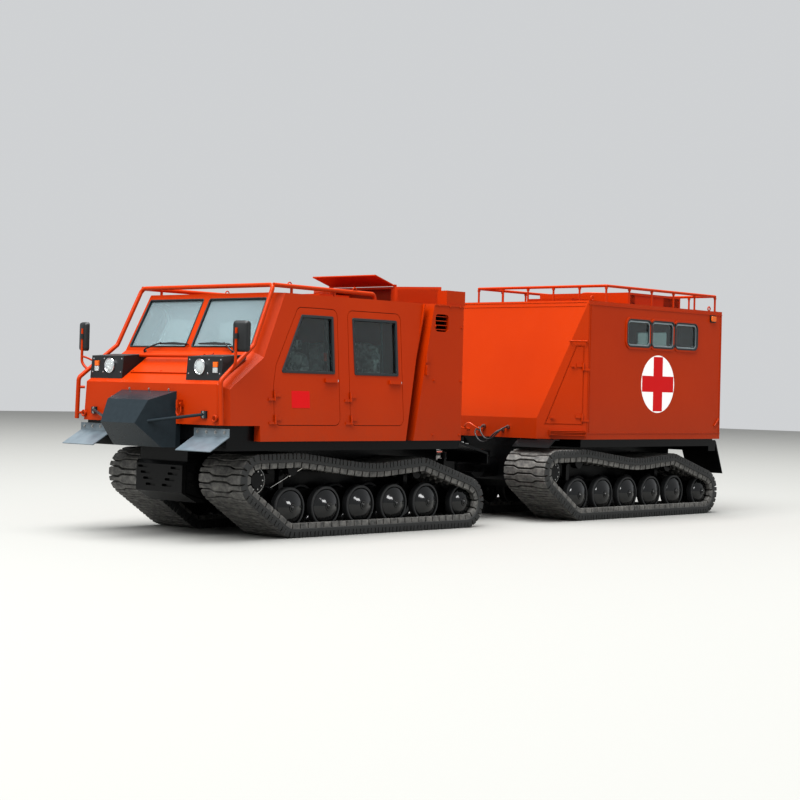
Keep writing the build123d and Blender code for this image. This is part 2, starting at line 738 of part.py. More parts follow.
# Coupling head: the yaw eye, arms with rod clevises, and the roll shaft
head_back = rod_pin[0] - 105
head_front = rod_pin[0] + 60
clevis_half = 60
with BuildPart() as coupling_head:
    with Locations((front(yaw_x), 0, link_z)):
        Cylinder(100, 100)
    box_between((front(head_back + 25), -70, link_z - 45), (front(yaw_x - 60), 70, link_z + 45))
    rod_between((front(bearing_back + 30), 0, link_z), (front(rod_pin[0] + 20), 0, link_z), roll_radius)
    box_between((front(head_back), -300, link_z + 40), (front(head_front), 300, cylinder_z - ear_reach))
    for side in (1, -1):
        y = side * rod_pin[1]
        top = cylinder_z + ear_reach + ear_thickness
        box_between((front(head_back + 15), y - clevis_half, top - ear_thickness),
                    (front(head_front), y + clevis_half, top))
        box_between((front(head_back), y - clevis_half, cylinder_z - clevis_half),
                    (front(head_back + 15), y + clevis_half, top))
    with Locations((front(yaw_x), 0, link_z)):
        Cylinder(yaw_pin_radius + seat_gap, 220, mode=Mode.SUBTRACT)
finish(coupling_head, "coupling_head")

# Steering cylinders: barrel on the fork, rod to the head
barrel_length = 480
barrel_radius = 32
rod_radius = 20
for side, word in ((1, "left"), (-1, "right")):
    foot = Vector(front(barrel_pin[0]), side * barrel_pin[1], cylinder_z)
    eye = Vector(front(rod_pin[0]), side * rod_pin[1], cylinder_z)
    along = (eye - foot).normalized()
    barrel_end = foot + along * barrel_length
    with BuildPart() as barrel:
        rod_between(foot, barrel_end, barrel_radius)
        with Locations(foot):
            Cylinder(40, cylinder_eye)
        rod_between(foot + along * 120, barrel_end + along, rod_radius + seat_gap, mode=Mode.SUBTRACT)
        with Locations(foot):
            Cylinder(cylinder_pin_radius + seat_gap, cylinder_eye + 20, mode=Mode.SUBTRACT)
    finish(barrel, "steer_barrel_" + word)
    with BuildPart() as rod:
        rod_between(foot + along * 285, eye, rod_radius)
        with Locations(eye):
            Cylinder(36, cylinder_eye)
    finish(rod, "steer_rod_" + word)

# Rear unit's black frame: tub, deck, bearing for the roll shaft and rear cross member
with BuildPart() as rear_frame:
    with BuildSketch(Plane.XZ):
        with BuildLine():
            Polyline(
                (front(bearing_back), 450), (front(bearing_back), deck_bottom), (front(body_rear + 100), deck_bottom),
                (front(body_rear + 100), 430), (front(body_rear + 300), tub_floor),
                (front(bearing_back - 150), tub_floor), close=True)
        make_face()
    extrude(amount=tub_half, both=True)
    box_between((front(body_rear + 40), -1000, deck_bottom), (front(nose_head_x), 1000, body_floor))
    box_between((front(nose_head_x), -420, deck_bottom), (front(nose_foot_x - 30), 420, body_floor))
    box_between((front(body_rear - 60), -980, 800), (front(body_rear + 100), 980, 940))
    box_between((front(body_rear - 140), -60, 850), (front(body_rear - 60), 60, 880))
    rod_between((front(body_rear - 105), 0, 840), (front(body_rear - 105), 0, 890), tow_bore, mode=Mode.SUBTRACT)
    rod_between((front(bearing_back), 0, link_z), (front(bearing_front), 0, link_z), 120)
    rod_between((front(bearing_back - 40), 0, link_z), (front(bearing_front + 40), 0, link_z),
                roll_radius + seat_gap, mode=Mode.SUBTRACT)
finish(rear_frame, "rear_frame")

# Rear body: hollow box with a sloping front, chamfered corners, side windows and a rear doorway
window_xs = [body_rear + ahead for ahead in (1840, 1330, 820)]
window_wide = 500
window_low, window_high = body_roof - 515, body_roof - 185
body_window_corner = 70
rear_door_half = 450
rear_door_low, rear_door_high = 1040, body_roof - 120
rear_hinges = (1250, body_roof - 350)
rear_plane = Plane(origin=(front(body_rear), 0, 0), x_dir=(0, -1, 0), z_dir=(-1, 0, 0))
body_outline = [
    (nose_foot_x, body_floor), (nose_foot_x, nose_foot_z), (nose_head_x, body_roof),
    (body_rear, body_roof), (body_rear, body_floor),
]
corner_run = (nose_foot_x - nose_head_x, body_half - nose_foot_half)
corner_length = math.hypot(*corner_run)
# Locker door in the corner panel: distance along the panel from its front edge, and height
locker_outline = [(110, 1140), (550, 1140), (550, 2050), (470, 2050)]
locker_hinges = (1230, 1830)


def corner_plane(side):
    return Plane(
        origin=(front(nose_foot_x), side * nose_foot_half, 0),
        x_dir=(-side * corner_run[0] / corner_length, corner_run[1] / corner_length, 0),
        z_dir=(corner_run[1] / corner_length, side * corner_run[0] / corner_length, 0),
    ) if side > 0 else Plane(
        origin=(front(nose_foot_x), -nose_foot_half, 0),
        x_dir=(corner_run[0] / corner_length, corner_run[1] / corner_length, 0),
        z_dir=(corner_run[1] / corner_length, -corner_run[0] / corner_length, 0),
    )


def on_corner(side, along, z):
    return (along if side > 0 else -along, z)


with BuildPart() as rear_body:
    with BuildSketch(Plane.XZ):
        with BuildLine():
            Polyline(*[(front(x), z) for x, z in body_outline], close=True)
        make_face()
    extrude(amount=body_half, both=True)
    for side in (1, -1):
        split(bisect_by=corner_plane(side), keep=Keep.BOTTOM)
    offset(rear_body.part, amount=-wall, kind=Kind.INTERSECTION, mode=Mode.SUBTRACT)
    box_between((front(nose_head_x - 120), -body_half + wall, body_floor + wall),
                (front(nose_head_x - 80), body_half - wall, body_roof - wall))
    for x in window_xs:
        for side in (1, -1):
            with BuildSketch(Plane.XZ.offset(-side * body_half)):
                with Locations((front(x), (window_low + window_high) / 2)):
                    RectangleRounded(window_wide, window_high - window_low, body_window_corner)
            extrude(amount=side * wall, mode=Mode.SUBTRACT)
    box_between((front(body_rear - 10), -rear_door_half - door_gap, rear_door_low - door_gap),
                (front(body_rear + wall + 10), rear_door_half + door_gap, rear_door_high + door_gap),
                mode=Mode.SUBTRACT)
    for side in (1, -1):
        with BuildSketch(corner_plane(side)):
            with BuildLine():
                Polyline(*[on_corner(side, a, z) for a, z in locker_outline], close=True)
            make_face()
            offset(amount=locker_gap, kind=Kind.INTERSECTION)
        extrude(amount=-wall * 1.5, mode=Mode.SUBTRACT)
        for z in locker_hinges:
            hinge(corner_plane(side), on_corner(side, locker_outline[1][0], z), -side, True)
    for z in rear_hinges:
        hinge(rear_plane, (rear_door_half, z), -1, True)
finish(rear_body, "rear_body")

with BuildPart() as rear_windows:
    for x in window_xs:
        with BuildSketch(Plane.XZ.offset(-body_half + wall / 2)):
            with Locations((front(x), (window_low + window_high) / 2)):
                RectangleRounded(window_wide - 2 * seat_gap, window_high - window_low - 2 * seat_gap,
                                 body_window_corner)
        extrude(amount=glass_thickness)
    mirror(about=Plane.XZ)
finish(rear_windows, "rear_windows")

for side, word in ((1, "left"), (-1, "right")):
    with BuildPart() as locker_door:
        with BuildSketch(corner_plane(side)):
            with BuildLine():
                Polyline(*[on_corner(side, a, z) for a, z in locker_outline], close=True)
            make_face()
        extrude(amount=-locker_lid)
        for z in locker_hinges:
            hinge(corner_plane(side), on_corner(side, locker_outline[1][0], z), -side, False)
    finish(locker_door, "locker_door_" + word)

rear_window_low, rear_window_high = body_roof - 750, body_roof - 250
rear_window_half = 250
with BuildPart() as rear_door:
    box_between((front(body_rear), -rear_door_half, rear_door_low),
                (front(body_rear + wall), rear_door_half, rear_door_high))
    box_between((front(body_rear - 10), -rear_window_half, rear_window_low),
                (front(body_rear + wall + 10), rear_window_half, rear_window_high), mode=Mode.SUBTRACT)
    for z in rear_hinges:
        hinge(rear_plane, (rear_door_half, z), -1, False)
    box_between((front(body_rear) - 25, 340, 1640), (front(body_rear), 400, 1800))
finish(rear_door, "rear_door")

with BuildPart() as rear_door_glass:
    box_between((front(body_rear + wall / 2), seat_gap - rear_window_half, rear_window_low + seat_gap),
                (front(body_rear + wall / 2 + glass_thickness), rear_window_half - seat_gap,
                 rear_window_high - seat_gap))
finish(rear_door_glass, "rear_door_glass")

bench_rear, bench_front = body_rear + 300, nose_head_x - 310
bench_inner, bench_back, bench_outer = 560, 940, 1020
bench_top = 1420
bench_back_top = 1900
with BuildPart() as rear_benches:
    floor = body_floor + wall + seat_gap
    for side in (1, -1):
        box_between((front(bench_rear), side * bench_inner, floor), (front(bench_front), side * bench_outer, bench_top))
        box_between((front(bench_rear), side * bench_back, bench_top),
                    (front(bench_front), side * bench_outer, bench_back_top))
finish(rear_benches, "rear_benches")

# Roof rack: a rail on posts round the roof's edge
rack_z = body_roof + 200
rack_radius = 17
rack_front, rack_rear, rack_half = nose_head_x - 440, body_rear + 50, 1000
rack_posts = 4
with BuildPart() as roof_rack:
    corners = [(rack_front, rack_half), (rack_front, -rack_half), (rack_rear, -rack_half), (rack_rear, rack_half)]
    for (x1, y1), (x2, y2) in zip(corners, corners[1:] + corners[:1]):
        rod_between((front(x1), y1, rack_z), (front(x2), y2, rack_z), rack_radius)
    for x, y in corners:
        with Locations((front(x), y, rack_z)):
            Sphere(rack_radius)
        rod_between((front(x), y, body_roof), (front(x), y, rack_z), rack_radius - 4)
    for i in range(1, rack_posts + 1):
        x = rack_front + i * (rack_rear - rack_front) / (rack_posts + 1)
        y = rack_half - i * 2 * rack_half / (rack_posts + 1)
        for side in (1, -1):
            rod_between((front(x), side * rack_half, body_roof), (front(x), side * rack_half, rack_z), 12)
        for end in (rack_front, rack_rear):
            rod_between((front(end), y, body_roof), (front(end), y, rack_z), 12)
finish(roof_rack, "roof_rack")

with BuildPart() as roof_units:
    box_between((front(body_rear + 400), -700, body_roof), (front(body_rear + 1550), 700, body_roof + 175))
    box_between((front(body_rear + 1700), -350, body_roof), (front(body_rear + 2250), 350, body_roof + 70))
finish(roof_units, "roof_units")

# Flaps: two sloping plates ahead of the rear tracks and two mud flaps behind them
flap_y = 710
flap_half = 270
with BuildPart() as rear_flaps:
    for side in (1, -1):
        with BuildSketch(Plane.XZ.offset(-side * flap_y)):
            with BuildLine():
                Polyline(
                    (front(nose_foot_x - 30), 955), (front(nose_foot_x - 30), 945), (front(nose_foot_x + 90), 855),
                    (front(nose_foot_x + 100), 862), (front(nose_foot_x - 10), 955), close=True)
            make_face()
        extrude(amount=flap_half, both=True)
        box_between((front(nose_foot_x - 110), side * flap_y - flap_half, 945),
                    (front(nose_foot_x - 10), side * flap_y + flap_half, body_floor - seat_gap))
        with BuildSketch(Plane.XZ.offset(-side * flap_y)):
            with BuildLine():
                Polyline(
                    (front(body_rear - 60), 930), (front(body_rear - 60), 890), (tail_end + 8, 505),
                    (tail_end, 505), (front(body_rear - 75), 930), close=True)
            make_face()
        extrude(amount=flap_half, both=True)
finish(rear_flaps, "rear_flaps")

with BuildPart() as tail_lamps:
    for side in (1, -1):
        box_between((front(body_rear) - 30, side * 960 - 50, 1050), (front(body_rear), side * 960 + 50, 1350))
finish(tail_lamps, "tail_lamps")
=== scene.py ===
import bmesh
import bpy
import math
from mathutils import Matrix, Vector


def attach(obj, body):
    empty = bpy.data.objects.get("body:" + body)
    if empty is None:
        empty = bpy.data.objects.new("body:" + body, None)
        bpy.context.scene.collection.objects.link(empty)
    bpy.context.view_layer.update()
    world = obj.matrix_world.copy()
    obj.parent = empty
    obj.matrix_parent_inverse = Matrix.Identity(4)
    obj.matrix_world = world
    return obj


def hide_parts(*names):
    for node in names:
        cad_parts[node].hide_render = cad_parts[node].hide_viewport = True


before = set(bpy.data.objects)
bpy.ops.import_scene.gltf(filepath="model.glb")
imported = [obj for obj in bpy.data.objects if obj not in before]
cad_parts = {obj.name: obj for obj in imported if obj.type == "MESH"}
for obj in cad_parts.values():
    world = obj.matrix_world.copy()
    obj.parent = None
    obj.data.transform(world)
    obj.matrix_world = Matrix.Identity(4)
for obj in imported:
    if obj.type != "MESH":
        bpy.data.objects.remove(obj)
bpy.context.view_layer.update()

# The camera stands off the left front corner at chest height, about 17 m from the nose,
# with a moderate telephoto lens. Its frame is shifted a little, as the photograph was cropped.
camera_data = bpy.data.cameras.new("camera")
camera_data.lens = 81.445
camera_data.sensor_width = 36
camera_data.shift_x = -0.02806
camera_data.shift_y = -0.05081
camera = bpy.data.objects.new("camera", camera_data)
bpy.context.scene.collection.objects.link(camera)
camera_forward = Vector((-0.74233, -0.66981, 0.01719)).normalized()
camera_up = Vector((0.02939, -0.00693, 0.99954))
camera_right = camera_forward.cross(camera_up).normalized()
camera_up = camera_right.cross(camera_forward)
camera.matrix_world = Matrix([
    (camera_right.x, camera_up.x, -camera_forward.x, 15.630),
    (camera_right.y, camera_up.y, -camera_forward.y, 13.904),
    (camera_right.z, camera_up.z, -camera_forward.z, 1.490),
    (0, 0, 0, 1),
])
bpy.context.scene.camera = camera

# The floor is a seamless pale studio sheet, matt, rolled out far beyond the vehicle.
# Every colour in this file is an sRGB hex value, which linear() turns to the shader's own kind.


def linear(code):
    channels = [int(code[i:i + 2], 16) / 255 for i in (1, 3, 5)]
    return [c / 12.92 if c <= 0.04045 else ((c + 0.055) / 1.055) ** 2.4 for c in channels] + [1]


def finish(name, settings):
    material = bpy.data.materials.new(name)
    material.use_nodes = True
    shader = material.node_tree.nodes["Principled BSDF"]
    for socket, value in settings.items():
        shader.inputs[socket].default_value = value
    return material, shader


def add(material, kind, settings, links):
    node = material.node_tree.nodes.new(kind)
    for key, value in settings.items():
        if isinstance(key, int) or key in node.inputs:
            node.inputs[key].default_value = value
        else:
            setattr(node, key, value)
    for socket, source in links.items():
        material.node_tree.links.new(source, node.inputs[socket])
    return node


studio_sheet = finish("studio_sheet", {"Base Color": linear("#8C8C89"), "Roughness": 0.85})[0]
floor_mesh = bpy.data.meshes.new("studio_floor")
floor_reach = 60
floor_mesh.from_pydata(
    [(-floor_reach, -floor_reach, 0), (floor_reach, -floor_reach, 0),
     (floor_reach, floor_reach, 0), (-floor_reach, floor_reach, 0)], [], [(0, 1, 2, 3)])
floor_mesh.materials.append(studio_sheet)
studio_floor = bpy.data.objects.new("studio_floor", floor_mesh)
bpy.context.scene.collection.objects.link(studio_floor)

# Soft studio light: a long softbox overhead, a strip at the side, a weak one ahead, and an even pale room.
# The sides stay much darker than the roof and hood, as in the photograph.
room = bpy.data.worlds.new("room")
room.use_nodes = True
room.node_tree.nodes["Background"].inputs["Color"].default_value = linear("#F4F6F8")
room.node_tree.nodes["Background"].inputs["Strength"].default_value = 0.6
bpy.context.scene.world = room
bpy.context.scene.view_settings.view_transform = "Standard"
bpy.context.scene.view_settings.look = "Medium High Contrast"
softboxes = (
    # name, place, aim, size across, size along, watts
    ("overhead", (10.5, 2.3, 40.0), (1.5, 0, 1.5), 27, 72, 59000),
    ("side_strip", (-2.4, 13.7, 4.0), (0.5, 1.0, 0.3), 3.5, 1.6, 190),
    ("front_fill", (14.0, 1.0, 6.5), (3.0, 0, 1.4), 5, 3, 120),
)
for name, spot, aim, across, along, watts in softboxes:
    box_light = bpy.data.lights.new(name, "AREA")
    box_light.shape = "RECTANGLE"
    box_light.size = across
    box_light.size_y = along
    box_light.energy = watts
    lamp = bpy.data.objects.new(name, box_light)
    lamp.location = spot
    lamp.rotation_mode = "QUATERNION"
    lamp.rotation_quaternion = (Vector(aim) - Vector(spot)).to_track_quat("-Z", "Y")
    bpy.context.scene.collection.objects.link(lamp)

# Hull, deck, track beams and coupling: welded mild steel plate under satin black chassis enamel.
# The eye sees a soft sheen with fine grit in it, and dust that has dried on low down.


def front(x):
    return 3.150 + x


def dress(material, *names):
    for name in names:
        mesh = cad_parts[name].data
        for i in range(len(mesh.materials)):
            mesh.materials[i] = material
        if not mesh.materials:
            mesh.materials.append(material)


def feed(shader, sources):
    for socket, source in sources.items():
        shader.id_data.links.new(source, shader.inputs[socket])


chassis_enamel, chassis_shader = finish(
    "satin_chassis_enamel", {"IOR": 1.5, "Specular IOR Level": 0.22, "Roughness": 0.25})
on_part = add(chassis_enamel, "ShaderNodeTexCoord", {}, {}).outputs["Object"]
# Dust patches about 120 mm across
dust_patches = add(chassis_enamel, "ShaderNodeTexNoise",
                   {"Scale": 1 / 0.12, "Detail": 6.0, "Roughness": 0.65}, {"Vector": on_part})
height = add(chassis_enamel, "ShaderNodeSeparateXYZ", {}, {"Vector": on_part})
low_down = add(chassis_enamel, "ShaderNodeMapRange",
               {"From Min": 1.1, "From Max": 0.1, "To Min": 0.02, "To Max": 0.6},
               {"Value": height.outputs["Z"]})
dust_share = add(chassis_enamel, "ShaderNodeMath", {"operation": "MULTIPLY"},
                 {0: low_down.outputs[0], 1: dust_patches.outputs["Fac"]})
dusty_black = add(chassis_enamel, "ShaderNodeMix",
                  {"data_type": "RGBA", 6: linear("#040507"), 7: linear("#1B1A18")},
                  {0: dust_share.outputs[0]})
# Sprayed grit: real grains are under 0.5 mm, drawn at 6 mm so that the render shows them
grit = add(chassis_enamel, "ShaderNodeTexNoise", {"Scale": 1 / 0.006, "Detail": 2.0},
           {"Vector": on_part})
grit_bump = add(chassis_enamel, "ShaderNodeBump", {"Strength": 0.12, "Distance": 0.0004},
                {"Height": grit.outputs["Fac"]})
feed(chassis_shader, {"Base Color": dusty_black.outputs[2], "Normal": grit_bump.outputs["Normal"]})
dress(chassis_enamel, "front_hull", "rear_frame", "front_axles", "rear_axles", "belly_plate",
      "coupling_fork", "coupling_head", "engine_block")

# Rubber tracks: vulcanised rubber over steel cord, one endless belt a side, all of one moulding. Two rows of
# shoes to each drive lug stand right across it outside, nested in each other, and drive lugs and guide horns
# stand inside.
lug_pitch = 0.110
belt_thickness = 0.035
tread_height = 0.055
track_half = 0.310
track_middle = 0.702
units = (("front", front(0)), ("rear", front(-4.702)))
sides = ((1, "left"), (-1, "right"))
pulleys = [
    # x from the first road wheel's axle, z, radius; the negative radius is the sag of the top run
    (0, 0.295, 0.205), (0.490, 0.576, 0.165), (-0.050, 0.680, 0.070),
    (-1.150, 3.136, -2.500), (-1.890, 0.617, 0.070), (-2.600, 0.280, 0.190),
]
headings = []
for (x1, z1, r1), (x2, z2, r2) in zip(pulleys, pulleys[1:] + pulleys[:1]):
    span = math.hypot(x2 - x1, z2 - z1)
    headings.append(math.atan2(z2 - z1, x2 - x1) + math.asin((r1 - r2) / span))
stretches = []
for i, (x, z, r) in enumerate(pulleys):
    turn = (headings[i] - headings[i - 1]) % (2 * math.pi)
    if r < 0:
        turn -= 2 * math.pi
    x2, z2, r2 = pulleys[(i + 1) % len(pulleys)]
    nx, nz = math.sin(headings[i]), -math.cos(headings[i])
    start = (x + r * nx, z + r * nz)
    stretches.append((x, z, r, headings[i - 1], abs(turn * r)))
    stretches.append((*start, 0, headings[i], math.dist(start, (x2 + r2 * nx, z2 + r2 * nz))))
belt_length = sum(stretch[-1] for stretch in stretches)
lug_count = round(belt_length / lug_pitch)


def belt_point(along, depth):
    along %= belt_length
    for x, z, r, heading, length in stretches:
        if along <= length:
            break
        along -= length
    if r:
        heading += along / r
    nx, nz = math.sin(heading), -math.cos(heading)
    if r:
        return x + (r + depth) * nx, z + (r + depth) * nz
    return x + along * math.cos(heading) + depth * nx, z + along * math.sin(heading) + depth * nz


def skin(bm, rings, closed):
    for a, b in zip(rings, rings[1:] + rings[:1] if closed else rings[1:]):
        for i in range(len(a)):
            j = (i + 1) % len(a)
            bm.faces.new((a[i], a[j], b[j], b[i]))


def close_form(bm, rings):
    skin(bm, rings, False)
    bm.faces.new(rings[0][::-1])
    bm.faces.new(rings[-1])


def fit(name, data, body):
    piece = bpy.data.objects.new(name, data)
    bpy.context.scene.collection.objects.link(piece)
    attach(piece, body)
    return piece


def place(name, bm, body, material, slot, edge=0.0, crease=35):
    bmesh.ops.recalc_face_normals(bm, faces=bm.faces)
    mesh = bpy.data.meshes.new(name)
    bm.to_mesh(mesh)
    bm.free()
    mesh.materials.append(material)
    mesh.shade_smooth()
    mesh.set_sharp_from_angle(angle=math.radians(crease))
    piece = fit(name, mesh, body)
    if edge:
        rounding = piece.modifiers.new("rounded_edges", "BEVEL")
        rounding.width = edge
        rounding.segments = 2
        rounding.limit_method = "ANGLE"
        rounding.angle_limit = math.radians(30)
        rounding.harden_normals = True
    return piece


def rectangle(u1, v1, u2, v2):
    return [(u1, v1), (u2, v1), (u2, v2), (u1, v2)]


def moulded_block(bm, axle, middle, along, outline, levels):
    centre_s = sum(s for s, y in outline) / len(outline)
    centre_y = sum(y for s, y in outline) / len(outline)
    rings = []
    for depth, shrink in levels:
        ring = []
        for s, y in outline:
            s -= math.copysign(min(shrink, abs(s - centre_s)), s - centre_s)
            y -= math.copysign(min(shrink, abs(y - centre_y)), y - centre_y)
            x, z = belt_point(along + s, depth)
            ring.append(bm.verts.new((axle + x, middle + y, z)))
        rings.append(ring)
    close_form(bm, rings)


track_rubber, rubber_shader = finish("moulded_track_rubber", {"IOR": 1.52, "Roughness": 0.66})
on_track = add(track_rubber, "ShaderNodeTexCoord", {}, {}).outputs["Object"]
# Dried mud on the moulding, in patches of 60 mm
mud = add(track_rubber, "ShaderNodeTexNoise", {"Scale": 1 / 0.06, "Detail": 8.0, "Roughness": 0.7},
          {"Vector": on_track})
mud_share = add(track_rubber, "ShaderNodeMapRange", {"From Min": 0.35, "From Max": 0.7},
                {"Value": mud.outputs["Fac"]})
dusty_rubber = add(track_rubber, "ShaderNodeMix",
                   {"data_type": "RGBA", 6: linear("#3A3A39"), 7: linear("#787672")},
                   {0: mud_share.outputs[0]})
# The last 12 mm at the belt's edges, where the blocks' side walls stand, fade to near black: painted shade on
# the side walls, which face away from the overhead light
track_place = add(track_rubber, "ShaderNodeSeparateXYZ", {}, {"Vector": on_track})
off_centre = add(track_rubber, "ShaderNodeMath", {"operation": "ABSOLUTE"}, {0: track_place.outputs["Y"]})
from_middle = add(track_rubber, "ShaderNodeMath", {"operation": "SUBTRACT", 1: track_middle},
                  {0: off_centre.outputs[0]})
to_edge = add(track_rubber, "ShaderNodeMath", {"operation": "ABSOLUTE"}, {0: from_middle.outputs[0]})
painted_side_shade = add(track_rubber, "ShaderNodeMapRange",
                 {"From Min": track_half - 0.012, "From Max": track_half - 0.004},
                 {"Value": to_edge.outputs[0]})
side_shaded_rubber = add(track_rubber, "ShaderNodeMix", {"data_type": "RGBA", 7: linear("#282929")},
                   {0: painted_side_shade.outputs[0], 6: dusty_rubber.outputs[2]})
# Scuffs and pores: real ones are about 1 mm, drawn at 8 mm so that the render shows them
pores = add(track_rubber, "ShaderNodeTexNoise", {"Scale": 1 / 0.008, "Detail": 5.0, "Roughness": 0.7},
            {"Vector": on_track})
pore_bump = add(track_rubber, "ShaderNodeBump", {"Strength": 0.5, "Distance": 0.002},
                {"Height": pores.outputs["Fac"]})
feed(rubber_shader, {"Base Color": side_shaded_rubber.outputs[2], "Normal": pore_bump.outputs["Normal"]})

tread_top = belt_thickness + tread_height
belt_section = [
    (-track_half, 0.005), (-track_half + 0.005, 0), (track_half - 0.005, 0), (track_half, 0.005),
    (track_half, belt_thickness - 0.005), (track_half - 0.005, belt_thickness),
    (-track_half + 0.005, belt_thickness), (-track_half, belt_thickness - 0.005),
]
outer_levels = [(belt_thickness - 0.004, 0), (tread_top - 0.007, 0.002), (tread_top, 0.006)]
shoe_count = lug_count * 2
# Half length of a shoe at each place across the belt: wide places of one nest with narrow ones of the next
shoe_waves = (
    [(0.310, 0.018), (0.165, 0.016), (0.105, 0.032)],
    [(0.310, 0.025), (0.286, 0.032), (0.165, 0.032), (0.105, 0.016)],
)
shoes = []
for wave in shoe_waves:
    edge = [(half, y) for y, half in wave] + [(half, -y) for y, half in wave[::-1]]
    shoes.append(edge + [(-half, y) for half, y in edge[::-1]])
lug_phase = 0.032
# Drive lugs at both edges and two rows of guide horns between the wheels
inner_blocks = (
    # y from, y to, rise, half length
    (0.233, 0.300, 0.055, 0.047), (-0.300, -0.233, 0.040, 0.047),
    (0.043, 0.113, 0.045, 0.024), (-0.117, -0.047, 0.045, 0.024),
)
belt_steps = lug_count * 4
for unit, axle in units:
    for side, word in sides:
        middle = side * track_middle
        bm = bmesh.new()
        rings = []
        for i in range(belt_steps):
            ring = []
            for y, depth in belt_section:
                x, z = belt_point(i * belt_length / belt_steps, depth)
                ring.append(bm.verts.new((axle + x, middle + y, z)))
            rings.append(ring)
        skin(bm, rings, True)
        for i in range(shoe_count):
            along = i * belt_length / shoe_count + lug_phase
            moulded_block(bm, axle, middle, along, shoes[i % 2], outer_levels)
        for i in range(lug_count):
            along = (i + 0.5) * belt_length / lug_count + lug_phase
            for low, high, rise, half in inner_blocks:
                moulded_block(bm, axle, middle, along, rectangle(-half, side * low, half, side * high),
                              [(0.004, 0), (-rise + 0.006, 0.003), (-rise, 0.008)])
        track = place(unit + "_tread_" + word, bm, unit + "_car", track_rubber, "track_rubber")
        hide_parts(unit + "_track_" + word)

# Road wheels and idlers: pressed steel discs in gloss black, each pair on one spindle,
# with a solid rubber tyre bonded on and a screwed hub cap that stands proud of the dish.


def lathe(bm, profile, centre, axis, steps):
    axis = Vector(axis).normalized()
    across = axis.orthogonal().normalized()
    along = axis.cross(across)
    centre = Vector(centre)
    rings = []
    for radius, reach in profile:
        hub = centre + axis * reach
        if radius == 0:
            rings.append([bm.verts.new(hub)])
            continue
        angles = [2 * math.pi * k / steps for k in range(steps)]
        spokes = [math.cos(a) * across + math.sin(a) * along for a in angles]
        rings.append([bm.verts.new(hub + radius * spoke) for spoke in spokes])
    for a, b in zip(rings, rings[1:]):
        for i in range(steps):
            j = (i + 1) % steps
            ring = [a[0]] if len(a) == 1 else [a[i], a[j]]
            ring += [b[0]] if len(b) == 1 else [b[j], b[i]]
            bm.faces.new(ring)


def patterned(name, settings, pattern, colours=None, bump=None, spread=None, texture="ShaderNodeTexNoise"):
    material, shader = finish(name, settings)
    on_piece = add(material, "ShaderNodeTexCoord", {}, {}).outputs["Object"]
    share = add(material, texture, pattern, {"Vector": on_piece}).outputs["Fac"]
    if bump:
        strength, distance = bump
        relief = add(material, "ShaderNodeBump", {"Strength": strength, "Distance": distance},
                     {"Height": share})
        feed(shader, {"Normal": relief.outputs["Normal"]})
    if spread:
        share = add(material, "ShaderNodeMapRange", spread, {"Value": share}).outputs[0]
    if colours:
        dark, pale = colours
        mixed = add(material, "ShaderNodeMix",
                    {"data_type": "RGBA", 6: linear(dark), 7: linear(pale)}, {0: share})
        feed(shader, {"Base Color": mixed.outputs[2]})
    return material


# Road film: splashes about 40 mm across over the gloss. Tyre scuffs: 15 mm
wheel_gloss = patterned(
    "gloss_wheel_enamel", {"IOR": 1.5, "Roughness": 0.1, "Coat Weight": 0.2, "Coat Roughness": 0.05},
    {"Scale": 1 / 0.04, "Detail": 6.0, "Roughness": 0.7}, ("#040607", "#2E2B28"),
    spread={"From Min": 0.55, "From Max": 0.85, "To Max": 0.08})
tyre_rubber = patterned("solid_tyre_rubber", {"IOR": 1.52, "Roughness": 0.6},
                        {"Scale": 1 / 0.015, "Detail": 5.0}, ("#0D0F10", "#2B2C2D"))


def wheel_disc_profile(rim):
    return [
        (0, 0.988), (0.012, 0.988), (0.016, 0.985), (0.018, 0.981), (0.027, 0.981), (0.029, 0.978),
        (0.030, 0.973), (0.042, 0.973), (0.045, 0.970), (0.046, 0.964), (0.055, 0.962), (0.080, 0.956),
        (0.110, 0.946), (0.135, 0.936), (rim - 0.042, 0.927), (rim - 0.034, 0.921), (rim - 0.030, 0.914),
        (rim - 0.026, 0.914), (rim - 0.026, 0.852), (rim - 0.034, 0.852), (rim - 0.060, 0.870),
        (0.060, 0.880), (0.030, 0.850), (0.030, 0.555), (rim - 0.060, 0.540), (rim - 0.026, 0.550),
        (rim - 0.026, 0.480), (rim - 0.060, 0.482), (0.060, 0.478), (0, 0.478),
    ]


def tyre_profile(rim, low, high):
    return [
        (rim - 0.0255, low), (rim - 0.006, low), (rim - 0.0003, low + 0.008), (rim - 0.0003, high - 0.008),
        (rim - 0.006, high), (rim - 0.0255, high), (rim - 0.0255, low),
    ]


wheel_pitch = 0.504
wheel_stations = [(-wheel_pitch * i, 0.295, 0.205) for i in range(5)] + [(-2.600, 0.280, 0.190)]
for unit, axle in units:
    discs, tyres = bmesh.new(), bmesh.new()
    for side in (1, -1):
        for x, z, rim in wheel_stations:
            lathe(discs, wheel_disc_profile(rim), (axle + x, 0, z), (0, side, 0), 48)
            for low, high in ((0.476, 0.554), (0.846, 0.924)):
                lathe(tyres, tyre_profile(rim, low, high), (axle + x, 0, z), (0, side, 0), 64)
    wheels = place(unit + "_wheel_discs", discs, unit + "_car", wheel_gloss, "wheel_paint")
    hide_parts(unit + "_wheels")
    place(unit + "_wheel_tyres", tyres, unit + "_car", tyre_rubber, "track_rubber")

